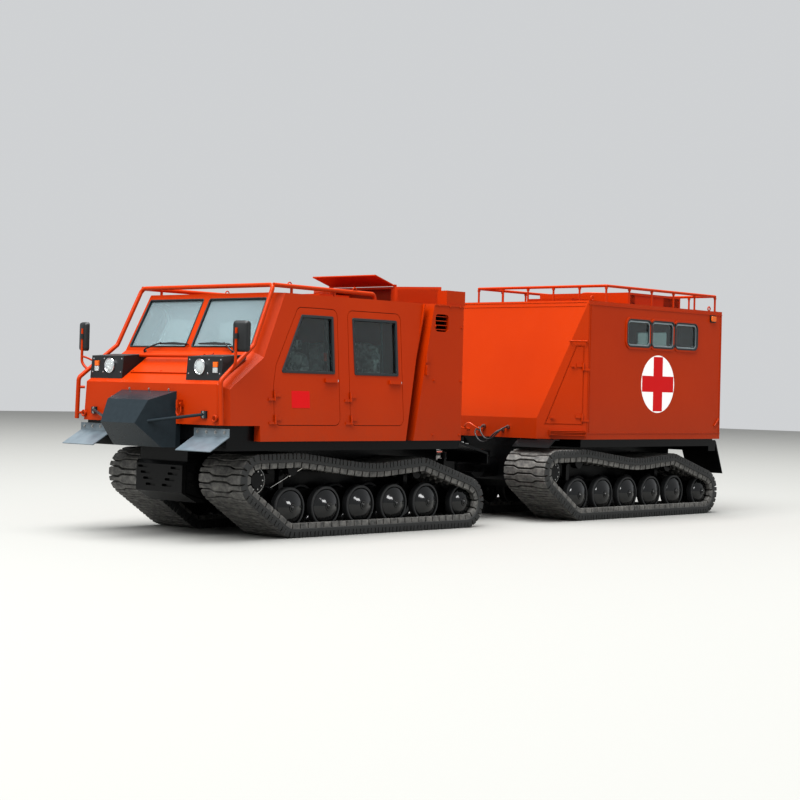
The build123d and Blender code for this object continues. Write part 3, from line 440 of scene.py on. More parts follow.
# Drive sprockets: forged steel toothed rings on a black drum, each with a ring of ten bolts,
# and one edge worn bright by the lugs. The return rollers are plain black steel drums.
dress(chassis_enamel, "front_sprockets", "rear_sprockets")
worn_steel = patterned("worn_bright_steel", {"Metallic": 1.0, "Roughness": 0.28},
                       {"Scale": 1 / 0.01, "Detail": 4.0}, ("#7C7B79", "#D4D4D2"))
in_steel = (worn_steel, "bare_steel")
bolt_ring = 0.090
bolt_count = 10
tooth_count = 9
drive_x, drive_z = pulleys[1][:2]
for unit, axle in units:
    drums, bright = bmesh.new(), bmesh.new()
    for side in (1, -1):
        hub = Vector((axle + drive_x, 0, drive_z))
        lathe(drums, [(0.112, 0.901), (0.150, 0.901), (0.154, 0.906), (0.154, 0.916), (0.148, 0.920),
                      (0.128, 0.920), (0.124, 0.934), (0.100, 0.936), (0.071, 0.936), (0.071, 0.930)],
              hub, (0, side, 0), 48)
        lathe(bright, [(0.124, 0.921), (0.134, 0.921), (0.134, 0.926), (0.124, 0.928), (0.124, 0.921)],
              hub, (0, side, 0), 48)
        for k in range(bolt_count):
            angle = 2 * math.pi * k / bolt_count
            spot = hub + bolt_ring * Vector((math.cos(angle), 0, math.sin(angle)))
            lathe(bright, [(0.010, 0.935), (0.010, 0.946), (0.007, 0.949), (0, 0.949)], spot, (0, side, 0), 6)
        for k in range(tooth_count):
            angle = 2 * math.pi * (k + 0.5) / tooth_count
            ring = []
            for y in (0.842, 0.898):
                corners = [(0.120, -0.16), (0.120, 0.16), (0.162, 0.07), (0.162, -0.07)]
                points = [(r * math.cos(angle + t), side * y, r * math.sin(angle + t)) for r, t in corners]
                ring.append([drums.verts.new(hub + Vector(point)) for point in points])
            close_form(drums, ring)
    place(unit + "_sprocket_rings", drums, unit + "_car", chassis_enamel, "wheel_paint")
    place(unit + "_sprocket_bolts", bright, unit + "_car", *in_steel)

# Cab, doors, covers and rear body: folded and welded steel sheet, sprayed with a two-pack orange enamel
# and polished. It shows a deep warm colour under a gloss, a faint ripple, and a dull film near the sills.
orange_enamel, orange_shader = finish(
    "sprayed_orange_enamel", {"IOR": 1.45, "Specular IOR Level": 0.18})
on_body = add(orange_enamel, "ShaderNodeTexCoord", {}, {}).outputs["Object"]
# Slow colour drift over about 600 mm, and road film in patches of 90 mm that thickens below z 1.5 m
drift = add(orange_enamel, "ShaderNodeTexNoise", {"Scale": 1 / 0.6, "Detail": 3.0},
            {"Vector": on_body})
orange_mix = add(orange_enamel, "ShaderNodeMix",
                 {"data_type": "RGBA", 6: linear("#9D2D00"), 7: linear("#A73401")}, {0: drift.outputs["Fac"]})
film = add(orange_enamel, "ShaderNodeTexNoise", {"Scale": 1 / 0.09, "Detail": 7.0, "Roughness": 0.7},
           {"Vector": on_body})
body_height = add(orange_enamel, "ShaderNodeSeparateXYZ", {}, {"Vector": on_body})
near_sill = add(orange_enamel, "ShaderNodeMapRange", {"From Min": 1.5, "From Max": 0.95, "To Max": 0.35},
                {"Value": body_height.outputs["Z"]})
film_strength = add(orange_enamel, "ShaderNodeMath", {"operation": "MULTIPLY"},
                    {0: near_sill.outputs[0], 1: film.outputs["Fac"]})
filmed_orange = add(orange_enamel, "ShaderNodeMix", {"data_type": "RGBA", 7: linear("#6A3A22")},
                    {0: film_strength.outputs[0], 6: orange_mix.outputs[2]})
gloss_loss = add(orange_enamel, "ShaderNodeMapRange",
                 {"From Min": 0.3, "From Max": 0.8, "To Min": 0.3, "To Max": 0.46},
                 {"Value": film.outputs["Fac"]})
# Spray ripple: real waves are about 2 mm, drawn at 12 mm so that the render shows them
ripple = add(orange_enamel, "ShaderNodeTexNoise", {"Scale": 1 / 0.012, "Detail": 1.0},
             {"Vector": on_body})
ripple_bump = add(orange_enamel, "ShaderNodeBump", {"Strength": 0.08, "Distance": 0.0008},
                  {"Height": ripple.outputs["Fac"]})
feed(orange_shader, {"Base Color": filmed_orange.outputs[2], "Roughness": gloss_loss.outputs[0],
                     "Normal": ripple_bump.outputs["Normal"]})
dress(orange_enamel, "cab_shell", "engine_cover", "intake_flap", "guard_tubes", "rear_body", "roof_rack",
      "roof_units", "door_front_left", "door_front_right", "door_rear_left", "door_rear_right",
      "locker_door_left", "locker_door_right", "rear_door")

# Glass: the windscreen is laminated and the side panes are toughened float glass, 6 mm, faintly green.
# A pale diffuse film over about half of the windscreen stands in for dust and the reflected pale sky: painted
# reflection, which keeps the windscreen lighter than the side panes.


def pane_glass(name, tint, reflection_and_dust_colour, reflection_and_dust_weight):
    material, shader = finish(name, {"Base Color": linear(tint), "Transmission Weight": 1.0,
                                     "Roughness": 0.02, "IOR": 1.52})
    # Diffuse film over the glass: dust, and on the windscreen also a painted reflection of the pale sky
    reflection_and_dust_haze = add(material, "ShaderNodeBsdfDiffuse", {"Color": linear(reflection_and_dust_colour)}, {})
    on_pane = add(material, "ShaderNodeTexCoord", {}, {}).outputs["Object"]
    smear = add(material, "ShaderNodeTexNoise", {"Scale": 1 / 0.9, "Detail": 0.0}, {"Vector": on_pane})
    share = add(material, "ShaderNodeMapRange",
                {"From Min": 0.3, "From Max": 0.7, "To Min": reflection_and_dust_weight * 0.9, "To Max": reflection_and_dust_weight * 1.1},
                {"Value": smear.outputs["Fac"]})
    mixed = add(material, "ShaderNodeMixShader", {},
                {0: share.outputs[0], 1: shader.outputs[0], 2: reflection_and_dust_haze.outputs[0]})
    feed(material.node_tree.nodes["Material Output"], {"Surface": mixed.outputs[0]})
    return material


# The windscreen's film at 0.48 is painted reflection of the pale sky with some dust; the side panes' 0.03 is
# dust
screen_glass = pane_glass("laminated_screen_glass", "#DCEBE8", "#8E9FA4", 0.48)
side_glass = pane_glass("toughened_side_glass", "#B4C6C4", "#6E7F82", 0.03)
dress(screen_glass, "windscreen")
dress(side_glass, "glass_front_left", "glass_front_right", "glass_rear_left", "glass_rear_right",
      "rear_windows", "rear_door_glass")

# Cab shell trim: the windscreen panes are held in black rubber, two wipers rest along its foot, and the hood
# carries a raised inspection panel. The eyes are welded on, and the panel is held by screws.
seal_rubber = patterned("extruded_seal_rubber", {"IOR": 1.52, "Roughness": 0.55},
                        {"Scale": 1 / 0.03, "Detail": 4.0}, ("#0B1013", "#1E272B"))
in_seal = (seal_rubber, "track_rubber")
in_orange = (orange_enamel, "orange_paint")


def prism(bm, outline, origin, across, up, low, high):
    origin, across, up = Vector(origin), Vector(across).normalized(), Vector(up).normalized()
    normal = across.cross(up)
    foot = [bm.verts.new(origin + u * across + v * up + normal * low) for u, v in outline]
    head = [bm.verts.new(origin + u * across + v * up + normal * high) for u, v in outline]
    close_form(bm, [foot, head])


def rounded(corners, radius, steps=5):
    loop = []
    for i, corner in enumerate(corners):
        here = Vector(corner)
        back = (Vector(corners[i - 1]) - here).normalized()
        ahead = (Vector(corners[(i + 1) % len(corners)]) - here).normalized()
        half = back.angle(ahead) / 2
        centre = here + (back + ahead).normalized() * radius / math.sin(half)
        start = here + back * radius / math.tan(half) - centre
        end = here + ahead * radius / math.tan(half) - centre
        for k in range(steps + 1):
            loop.append(tuple(centre + start.lerp(end, k / steps).normalized() * radius))
    return loop


def grown(loop, gap):
    area = sum(a[0] * b[1] - a[1] * b[0] for a, b in zip(loop, loop[1:] + loop[:1]))
    turn = 1 if area > 0 else -1
    result = []
    for i, corner in enumerate(loop):
        here = Vector(corner)
        before = (here - Vector(loop[i - 1])).normalized()
        after = (Vector(loop[(i + 1) % len(loop)]) - here).normalized()
        out = (Vector((before.y, -before.x)) + Vector((after.y, -after.x))).normalized() * turn
        result.append(tuple(here + out * gap / max(0.4, out.dot(Vector((before.y, -before.x)) * turn))))
    return result


def gasket(bm, loop, inward, outward, origin, across, up, low, high):
    origin, across, up = Vector(origin), Vector(across).normalized(), Vector(up).normalized()
    normal = across.cross(up)
    rings = []
    for edge, level in ((outward, low), (outward, high - 0.002), (outward - 0.002, high),
                        (0.003 - inward, high), (-inward, high - 0.003), (-inward, low), (outward, low)):
        ring = grown(loop, edge)
        rings.append([origin + u * across + v * up + normal * level for u, v in ring])
    rings = [[bm.verts.new(p) for p in ring] for ring in rings[:-1]]
    skin(bm, rings + rings[:1], False)


screen_origin = (front(0.600), 0, 1.830)
screen_up = (-0.280, 0, 0.585)
screen_rise = 0.6486
screen_seals = bmesh.new()
for side in (1, -1):
    pane = [(0.045, 0.045), (0.925, 0.045), (0.885, screen_rise - 0.060), (0.045, screen_rise - 0.060)]
    pane = rounded([(side * y, h) for y, h in pane], 0.02)
    gasket(screen_seals, pane, 0.009, 0.005, screen_origin, (0, 1, 0), screen_up, -0.018, 0.006)
place("windscreen_seals", screen_seals, "front_car", *in_seal)


def pipe(name, points, radius, body, material, slot, closed=False):
    line = bpy.data.curves.new(name, "CURVE")
    line.dimensions = "3D"
    line.bevel_depth = radius
    line.bevel_resolution = 4
    line.use_fill_caps = True
    spline = line.splines.new("NURBS")
    spline.points.add(len(points) - 1)
    for point, place_at in zip(spline.points, points):
        point.co = (*place_at, 1)
    spline.order_u = 3
    spline.use_endpoint_u = not closed
    spline.use_cyclic_u = closed
    line.materials.append(material)
    return fit(name, line, body)


def on_screen(y, up, out):
    rise = Vector(screen_up).normalized()
    normal = Vector((0, 1, 0)).cross(rise)
    return Vector(screen_origin) + Vector((0, y, 0)) + rise * up + normal * out


for word, pivot, knee, blade_start, blade_end in (
        ("right", -0.630, -0.400, -0.440, 0.010), ("left", 0.715, 0.560, 0.170, 0.640)):
    pipe("wiper_arm_" + word, [on_screen(pivot, -0.020, 0.012), on_screen(pivot, -0.016, 0.045),
                               on_screen((pivot + knee) / 2, 0.030, 0.045), on_screen(knee, 0.072, 0.036)],
         0.008, "front_car", seal_rubber, "black_paint")
    blade = bmesh.new()
    prism(blade, [(blade_start, 0.066), (blade_end, 0.060), (blade_end, 0.066),
                  ((blade_start + blade_end) / 2, 0.084), (blade_start, 0.072)],
          screen_origin, (0, 1, 0), screen_up, 0.010, 0.030)
    lathe(blade, [(0, 0.000), (0.022, 0.000), (0.020, 0.014), (0.008, 0.018), (0, 0.018)],
          on_screen(pivot, -0.020, 0), Vector((0, 1, 0)).cross(Vector(screen_up)), 16)
    place("wiper_blade_" + word, blade, "front_car", seal_rubber, "black_paint")

hood_origin = (front(1.070), 0, 1.500)
hood_up = (-0.470, 0, 0.330)
hood = bmesh.new()
prism(hood, rounded(rectangle(-0.465, 0.165, 0.465, 0.535), 0.02),
      hood_origin, (0, 1, 0), hood_up, -0.002, 0.014)
slope = Vector(hood_up).normalized()
for y in (-0.43, 0, 0.43):
    lathe(hood, [(0.010, 0.013), (0.010, 0.019), (0.007, 0.022), (0, 0.022)],
          Vector(hood_origin) + slope * 0.19 + Vector((0, y, 0)), Vector((0, 1, 0)).cross(slope), 6)


def ring_eye(name, centre, plane, radius, tube, body):
    points = []
    for k in range(8):
        a = k * math.pi / 4
        points.append(centre + radius * Vector((plane[0] * math.cos(a), plane[1] * math.cos(a), math.sin(a))))
    pipe(name, points, tube, body, *in_orange, closed=True)


# Lashing eyes: bent rod welded to a small foot at the corners of the face and on the roof rail
for y in (1.000, -1.000):
    lathe(hood, [(0, 0), (0.030, 0), (0.030, 0.006), (0, 0.006)], (front(1.070), y, 1.176), (1, 0, 0), 20)
place("hood_panel", hood, "front_car", *in_orange, edge=0.002)
for side, word in sides:
    ring_eye("corner_eye_" + word, Vector((front(1.092), side * 1.000, 1.176)), (0, 1), 0.030, 0.008,
             "front_car")
    for x, end in ((0.129, "front"), (-0.790, "rear")):
        ring_eye("roof_eye_%s_%s" % (end, word), Vector((front(x), side * 0.972, 2.500)), (1, 0),
                 0.026, 0.006, "front_car")

# Doors: each pane sits in a black rubber channel, a black rubber seal fills the gap round the door and stands
# in for the gap's shadow line as painted shade, and a lock button of chromed zinc is set at the handle's end.
# The front doors carry a plain red self-adhesive panel.
lean = math.radians(4.3)
chromed_zinc = patterned("chromed_zinc", {"Metallic": 1.0, "Roughness": 0.12},
                         {"Scale": 1 / 0.02, "Detail": 3.0}, ("#C9CDD0", "#ECEFF1"))
red_film = patterned(
    "red_adhesive_film", {"Base Color": linear("#C2060C"), "Roughness": 0.35, "Specular IOR Level": 0.2},
    {"Scale": 1 / 0.03}, bump=(0.1, 0.0005))
door_outlines = {
    "front": [(0.050, 2.280), (-0.490, 2.280), (-0.490, 1.120), (0.410, 1.120), (0.410, 1.500),
              (0.370, 1.700)],
    "rear": [(-0.645, 2.280), (-1.430, 2.280), (-1.430, 1.120), (-0.645, 1.120)],
}
pane_outlines = {
    "front": [(0.005, 2.205), (-0.430, 2.205), (-0.430, 1.635), (0.300, 1.635)],
    "rear": [(-0.712, 2.205), (-1.368, 2.205), (-1.368, 1.635), (-0.725, 1.635)],
}


def on_side(side, corners):
    return [(-side * x, (z - 1.100) / math.cos(lean)) for x, z in corners]


for side, word in sides:
    door_plane = ((front(0), side * 1.110, 1.100), (-side, 0, 0), (0, -side * math.sin(lean), math.cos(lean)))
    origin, across, up = (Vector(way) for way in door_plane)
    door_seals_gap_shade = bmesh.new()
    for door, low_x, high_x in (("front", -0.395, -0.375), ("rear", -1.180, -1.160)):
        body, tail = "door_%s_%s" % (door, word), "_%s_%s" % (door, word)
        outline = rounded(on_side(side, door_outlines[door]), 0.070)
        # Black seal in the door gap: a real rubber seal, drawn flush to give the painted shade of the gap's
        # shadow line
        gasket(door_seals_gap_shade, outline, -0.001, 0.0055, *door_plane, -0.036, -0.010)
        channel, post, button = (bmesh.new() for k in range(3))
        pane = rounded(on_side(side, pane_outlines[door]), 0.014)
        gasket(channel, pane, 0.022, 0.006, *door_plane, -0.018, 0.006)
        place("pane_channel" + tail, channel, body, *in_seal)
        prism(post, on_side(side, rectangle(low_x, 1.655, high_x, 2.190)), *door_plane, -0.040, -0.027)
        place("pane_post" + tail, post, body, *in_seal)
        latch_x = min(x for x, z in door_outlines[door]) + 0.022
        (u, v), = on_side(side, [(latch_x, 1.565)])
        button_profile = [(0.014, 0), (0.014, 0.006), (0.010, 0.008), (0.004, 0.008), (0.004, 0.005),
                          (0, 0.005)]
        lathe(button, button_profile, origin + across * u + up * v, across.cross(up), 16)
        place("lock_button" + tail, button, body, chromed_zinc, "bare_steel")
    place("door_seals_gap_shade_" + word, door_seals_gap_shade, "front_car", *in_seal)
    panel = bmesh.new()
    prism(panel, on_side(side, rectangle(-0.072, 1.287, 0.174, 1.455)), *door_plane, 0, 0.0012)
    place("red_panel_" + word, panel, "door_front_" + word, red_film, "orange_paint")

# Seats: foam pads under grey vinyl on moulded bases, still in their clear plastic delivery film.
# The film's loose creases are painted into the colour as near-white streaks, painted highlights of the
# crumpled film; each pad is crowned, with a welt round its middle.
# Grey vinyl mixed with near-white streaks: the streaks are painted highlights on the film's creases
seat_vinyl_painted_glints = patterned(
    "filmed_seat_vinyl", {"IOR": 1.5, "Roughness": 0.35, "Coat Weight": 0.8, "Coat Roughness": 0.1},
    {"Scale": 1 / 0.12, "Detail": 3.0, "Distortion": 3.0}, ("#5A6164", "#F2F5F5"),
    bump=(0.8, 0.012), spread={"From Min": 0.4, "From Max": 0.6})


def power(value, exponent):
    return math.copysign(abs(value) ** exponent, value)


def foam_pad(name, low, high, body, channels):
    centre = (Vector(low) + Vector(high)) / 2
    half = (Vector(high) - Vector(low)) / 2
    bm = bmesh.new()
    rings = []
    around, levels = 56, 20
    for i in range(levels + 1):
        tilt = math.pi * (i / levels - 0.5)
        ring = []
        for k in range(around):
            turn = 2 * math.pi * k / around
            u = power(math.cos(tilt), 0.35) * power(math.cos(turn), 0.3)
            v = power(math.cos(tilt), 0.35) * power(math.sin(turn), 0.3)
            w = power(math.sin(tilt), 0.45)
            # Sewn channels dip into the crown, and the middle stands a little higher than the rim
            dip = 1 - 0.10 * abs(math.sin(math.pi * channels * v / 2)) ** 0.5 if channels else 1
            crown = 0.86 + 0.14 * (1 - u * u) * (1 - v * v)
            ring.append(bm.verts.new(centre + Vector((half.x * u, half.y * v, half.z * w * crown * dip))))
        rings.append(ring)
    close_form(bm, rings)
    pad = place(name, bm, body, seat_vinyl_painted_glints, "seat_cover", crease=60)


def slab(bm, low, high):
    (x1, y1, z1), (x2, y2, z2) = low, high
    prism(bm, rectangle(x1, min(y1, y2), x2, max(y1, y2)), (0, 0, 0), (1, 0, 0), (0, 1, 0), z1, z2)


moulded_black = patterned("moulded_black_plastic", {"Roughness": 0.5, "IOR": 1.49},
                          {"Scale": 1 / 0.005, "Detail": 3.0}, ("#0B0D0E", "#181B1D"), bump=(0.2, 0.0005))
dress(moulded_black, "cab_seats", "dashboard")
seat_base = bmesh.new()
for y in (0.480, -0.480):
    slab(seat_base, (front(-0.300), y - 0.200, 1.002), (front(0.080), y + 0.200, 1.290))
    slab(seat_base, (front(-0.438), y - 0.215, 1.300), (front(-0.400), y + 0.215, 1.950))
slab(seat_base, (front(-1.240), -0.840, 1.002), (front(-0.830), 0.840, 1.290))
slab(seat_base, (front(-1.358), -0.840, 1.300), (front(-1.330), 0.840, 1.950))
bases = place("seat_bases", seat_base, "front_car", moulded_black, "dash_plastic", edge=0.008)
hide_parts("cab_seats")
# Pads: part, x from, x to, half width, z from, z to, sewn channels
front_pads = (
    ("cushion", -0.330, 0.118, 0.248, 1.285, 1.430, 3),
    ("backrest", -0.430, -0.300, 0.240, 1.400, 1.860, 0),
    ("headrest", -0.420, -0.330, 0.140, 1.865, 1.985, 0),
)
crew_pads = (
    ("cushion", -1.250, -0.805, 0.282, 1.285, 1.430, 3),
    ("backrest", -1.345, -1.230, 0.278, 1.400, 1.985, 0),
)
seats = [(word + "_%s", y, front_pads) for word, y in (("driver", 0.480), ("mate", -0.480))]
seats += [("crew_%s_" + str(k), y, crew_pads) for k, y in enumerate((-0.570, 0, 0.570))]
for name, y, pads in seats:
    for part, x1, x2, half, z1, z2, channels in pads:
        foam_pad(name % part, (front(x1), y - half, z1), (front(x2), y + half, z2), "front_car", channels)

# Seat belts hang from the pillar behind each front seat: black woven webbing 46 mm wide, with a tongue in a
# red moulded grip. Weave rows: real ones are 1.5 mm apart, drawn at 6 mm so that the render shows them.
belt_top = 2.370
belt_webbing = patterned(
    "woven_polyester_webbing", {"IOR": 1.5, "Roughness": 0.8},
    {"Scale": 2 * math.pi / 0.006 / 20, "bands_direction": "Z"}, ("#0C0D0E", "#222426"),
    texture="ShaderNodeTexWave")
red_grip = patterned("moulded_red_grip", {"IOR": 1.49, "Roughness": 0.4}, {"Scale": 1 / 0.005},
                     ("#F03A12", "#FF5A28"))
for side, word in sides:
    webbing, grip = bmesh.new(), bmesh.new()
    belt_plane = ((front(-0.460), side * 0.900, 0), (1, 0, 0), (0, 0, 1))
    prism(webbing, rectangle(-0.023, 1.001, 0.023, belt_top), *belt_plane, 0, 0.002)
    prism(grip, rounded(rectangle(-0.020, 1.760, 0.020, 1.850), 0.010, 4), *belt_plane, -0.008, 0.010)
    place("belt_webbing_" + word, webbing, "front_car", belt_webbing, "seat_cover")
    place("belt_grip_" + word, grip, "front_car", red_grip, "dash_plastic", edge=0.003)

# Headlamps: a round pressed reflector behind clear glass in a chromed bezel, and an upright side lamp with an
# amber lens over a clear one, set in a moulded black pod with a screw at each corner.
dress(moulded_black, "lamp_pods")
lamp_x = front(1.020)
aluminised = patterned("aluminised_reflector", {"Metallic": 1.0, "Roughness": 0.3}, {"Scale": 1 / 0.02},
                       ("#E2E4E4", "#F6F7F7"))
# Flutes 8 mm apart, moulded upright
flutes = {"Scale": 2 * math.pi / 0.008 / 20, "bands_direction": "Y"}
amber_lens = patterned(
    "moulded_amber_acrylic",
    {"Base Color": linear("#E8701A"), "IOR": 1.49, "Roughness": 0.15, "Transmission Weight": 0.25},
    flutes, bump=(0.5, 0.001), texture="ShaderNodeTexWave")
clear_lens = patterned(
    "fluted_clear_acrylic",
    {"Base Color": linear("#E6ECEC"), "IOR": 1.49, "Roughness": 0.08, "Transmission Weight": 0.6},
    flutes, bump=(0.5, 0.001), texture="ShaderNodeTexWave")
dress(clear_lens, "lamp_lenses")
for side, word in sides:
    lamp_spot = (lamp_x, side * 0.690, 1.665)
    reflector, bezel, glass, side_clear, side_amber = (bmesh.new() for k in range(5))
    lathe(reflector, [(0.0, -0.028), (0.030, -0.024), (0.055, -0.012), (0.068, -0.002), (0.066, -0.006),
                      (0.050, -0.020), (0, -0.0285)], lamp_spot, (1, 0, 0), 40)
    lathe(reflector, [(0.018, -0.024), (0.018, -0.004), (0.012, 0.0), (0, 0.001)], lamp_spot, (1, 0, 0), 20)
    lathe(bezel, [(0.066, -0.010), (0.066, 0.004), (0.070, 0.008), (0.075, 0.007), (0.077, 0.002),
                  (0.077, -0.010), (0.066, -0.010)], lamp_spot, (1, 0, 0), 48)
    for out in (0.002, 0):
        lathe(glass, [(0.067, out - 0.002), (0.060, out + 0.002), (0.035, out + 0.0055), (0, out + 0.007)],
              lamp_spot, (1, 0, 0), 40)
    low_y, high_y = side * 0.905 - 0.032, side * 0.905 + 0.032
    slab(side_clear, (front(0.992), low_y, 1.607), (front(1.020), high_y, 1.658))
    slab(side_amber, (front(0.992), low_y, 1.661), (front(1.019), high_y, 1.713))
    for y in (0.520, 0.800, 0.970):
        for z in (1.600, 1.735):
            lathe(bezel, [(0, -0.02), (0.009, -0.02), (0.009, 0.0), (0.006, 0.003), (0, 0.003)],
                  (front(1.0200 - (z - 1.535) * 0.087), side * y, z), (1, 0, 0), 6)
    dish = place("lamp_reflector_" + word, reflector, "front_car", aluminised, "lamp_glass")
    place("lamp_bezel_" + word, bezel, "front_car", chromed_zinc, "bare_steel")
    place("lamp_glass_" + word, glass, "front_car", clear_lens, "lamp_glass")
    place("side_lamp_clear_" + word, side_clear, "front_car", clear_lens, "lamp_glass", edge=0.004)
    place("side_lamp_amber_" + word, side_amber, "front_car", amber_lens, "lamp_glass", edge=0.004)
    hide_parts("lamp_lenses")

# Winch housing and corner flaps: folded 4 mm steel in a smooth graphite enamel, bolted on. Its sheen is low,
# so the sloping top and the face both read as a dark bluish grey.
graphite_enamel = patterned(
    "graphite_enamel", {"IOR": 1.5, "Roughness": 0.26, "Specular IOR Level": 0.12, "Coat Weight": 0.02,
                        "Coat Roughness": 0.15},
    {"Scale": 1 / 0.05, "Detail": 6.0, "Roughness": 0.7}, ("#1E2529", "#2B3338"))
dress(graphite_enamel, "winch_housing")
# The corner flaps are bent zinc-coated plate with a grey primer coat, the palest plates on the front
grey_primer = patterned("grey_primed_plate", {"IOR": 1.5, "Roughness": 0.3},
                        {"Scale": 1 / 0.09, "Detail": 6.0}, ("#4C565D", "#727E85"))
dress(grey_primer, "front_flaps")
fixings = bmesh.new()


def bolt(bm, spot, axis, radius=0.010):
    lathe(bm, [(radius * 1.7, 0), (radius * 1.7, 0.002), (radius, 0.002), (radius, 0.008),
               (radius * 0.8, 0.010), (0, 0.010)], spot, axis, 6)


for y in (-0.300, 0, 0.300):
    bolt(fixings, (front(1.070), y, 1.440), (1, 0, 0), 0.008)
for side in (1, -1):
    for z in (1.190, 1.230):
        bolt(fixings, (front(1.092), side * 0.840, z), (1, 0, 0))
    for y in (0.680, 0.810, 0.940, 1.070):
        bolt(fixings, (front(1.020), side * y, 1.045), (1, 0, 0), 0.011)
place("front_bolts", fixings, "front_car", *in_steel)

# Mirrors: moulded black heads with rounded corners and silvered glass behind, clamped to bent orange posts
# that are bolted to the cab's corners.
mirror_glass = patterned("silvered_mirror_glass", {"Metallic": 1.0, "Roughness": 0.04},
                         {"Scale": 1 / 0.05, "Detail": 5.0}, ("#BFC6C8", "#DDE3E4"))
dress(moulded_black, "mirrors")
mirror_turn = math.radians(17.5)
for side, word in sides:
    facing = Vector((math.cos(mirror_turn), side * math.sin(mirror_turn), 0))
    along = Vector((0, 0, 1)).cross(facing)
    head_centre = Vector((front(0.960), side * 1.200, 1.960))
    head, glass = bmesh.new(), bmesh.new()
    shape = rounded(rectangle(-0.086, -0.148, 0.086, 0.148), 0.035, 6)
    rings = []
    for level, shrink in ((-0.028, 0.0), (0.005, 0.0), (0.022, 0.010), (0.029, 0.030)):
        rings.append([head.verts.new(head_centre + facing * level + along * u + Vector((0, 0, v)))
                      for u, v in grown(shape, -shrink)])
    close_form(head, rings)
    prism(glass, grown(shape, -0.012), head_centre, along, (0, 0, 1), -0.0295, -0.0285)
    mirror_head = place("mirror_head_" + word, head, "front_car", moulded_black, "black_paint", crease=50)
    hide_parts("mirrors")
    place("mirror_glass_" + word, glass, "front_car", mirror_glass, "bare_steel")
    for part, radius, points in (
            ("post", 0.014, ((0.985, 1.103, 1.628), (0.994, 1.140, 1.655), (1.000, 1.175, 1.700),
                             (1.000, 1.175, 1.760), (1.000, 1.175, 2.040))),
            ("brace", 0.010, ((0.900, 1.062, 1.690), (0.960, 1.120, 1.745), (1.000, 1.175, 1.755)))):
        pipe("mirror_%s_%s" % (part, word), [(front(x), side * y, z) for x, y, z in points], radius,
             "front_car", *in_orange)
    clamp = bmesh.new()
    lathe(clamp, [(0.014, 0), (0.021, 0), (0.021, 0.05), (0.014, 0.05)], (front(1.000), side * 1.175, 1.935),
          (0, 0, 1), 20)
    place("mirror_clamp_" + word, clamp, "front_car", moulded_black, "black_paint")

# Engine cover: bolted steel panels behind the cab, joined to it by a hinge and a painted-over latch at the
# gap. The cowl's flanks are diamond mesh, and the raised rain flap is pressed steel with ribs.
black_oxide = patterned("blackened_steel_fixings", {"Metallic": 1.0, "Roughness": 0.45},
                        {"Scale": 1 / 0.01, "Detail": 3.0}, ("#1C1D1F", "#3E4144"))
cover_bolts, cover_trim, cowl_mesh, flap_ribs = (bmesh.new() for k in range(4))
cover_half = 1.100
for side, word in sides:
    flank = ((front(0), side * cover_half, 0), (-side, 0, 0), (0, 0, 1))
    for x in (-1.900, -2.330):
        for z in (1.020, 1.600, 2.180):
            bolt(cover_bolts, (front(x), side * cover_half, z), (0, side, 0), 0.011)
    for x in (-1.960, -2.130, -2.300):
        bolt(cover_bolts, (front(x), side * cover_half, 2.395), (0, side, 0), 0.008)
    # Gap hinge on the cover's leading edge, with the latch just under it
    prism(cover_trim, rectangle(0, -0.040, 0.075, 0.040),
          (front(-1.765), side * cover_half, 1.830), (-1, 0, 0), (0, 0, side), 0, 0.008)
    lathe(cover_trim, [(0, -0.045), (0.011, -0.045), (0.011, 0.045), (0, 0.045)],
          (front(-1.765), side * (cover_half + 0.010), 1.830), (0, 0, 1), 16)
    flange = [(-1.890, 2.414), (-2.350, 2.414), (-2.350, 2.398), (-1.884, 2.398)]
    prism(cover_trim, [(side * -x, z) for x, z in flange], *flank, 0, 0.006)
    gap_seal = bmesh.new()
    seam = [(-1.470, 0.965), (-1.796, 2.405), (-1.812, 2.405), (-1.486, 0.965)]
    prism(gap_seal, [(side * -x, z) for x, z in seam], (front(0), side * 1.010, 0), *flank[1:], 0, 0.030)
    place("gap_seal_" + word, gap_seal, "front_car", *in_orange)
latches = bmesh.new()
for side in (1, -1):
    prism(latches, rounded(rectangle(0, -0.055, 0.038, 0.055), 0.008),
          (front(-1.760), side * cover_half, 1.705), (-1, 0, 0), (0, 0, side), 0, 0.022)
# The cowl's slanting flanks: real diamonds are about 8 mm, drawn 30 mm apart so that the render shows them
mesh_pitch, mesh_rise, mesh_first, mesh_last = 0.030, 0.150, 0.030, 0.498
mesh_bars, mesh_bar_half = 22, 0.0025
for side in (1, -1):
    foot_corner = Vector((front(-1.900), side * 0.500, 2.438))
    flank = Vector((-0.220, side * 0.480, 0))
    out = (Vector((0, 0, 1)).cross(flank) * -side).normalized()
    for slant in (1, -1):
        for i in range(mesh_bars):
            start = -mesh_rise + i * mesh_pitch
            left, right = max(mesh_first, start), min(mesh_last, start + mesh_rise)
            if right - left < 0.010:
                continue
            low, high = left - start, right - start
            if slant < 0:
                low, high = mesh_rise - low, mesh_rise - high
            foot = foot_corner + flank.normalized() * left + Vector((0, 0, low))
            head = foot_corner + flank.normalized() * right + Vector((0, 0, high))
            wide = (head - foot).normalized().cross(out) * mesh_bar_half
            rings = []
            for spot in (foot, head):
                rings.append([cowl_mesh.verts.new(spot + wide * a + out * b)
                              for a, b in ((-1, 0.001), (1, 0.001), (1, 0.005), (-1, 0.005))])
            skin(cowl_mesh, rings, False)
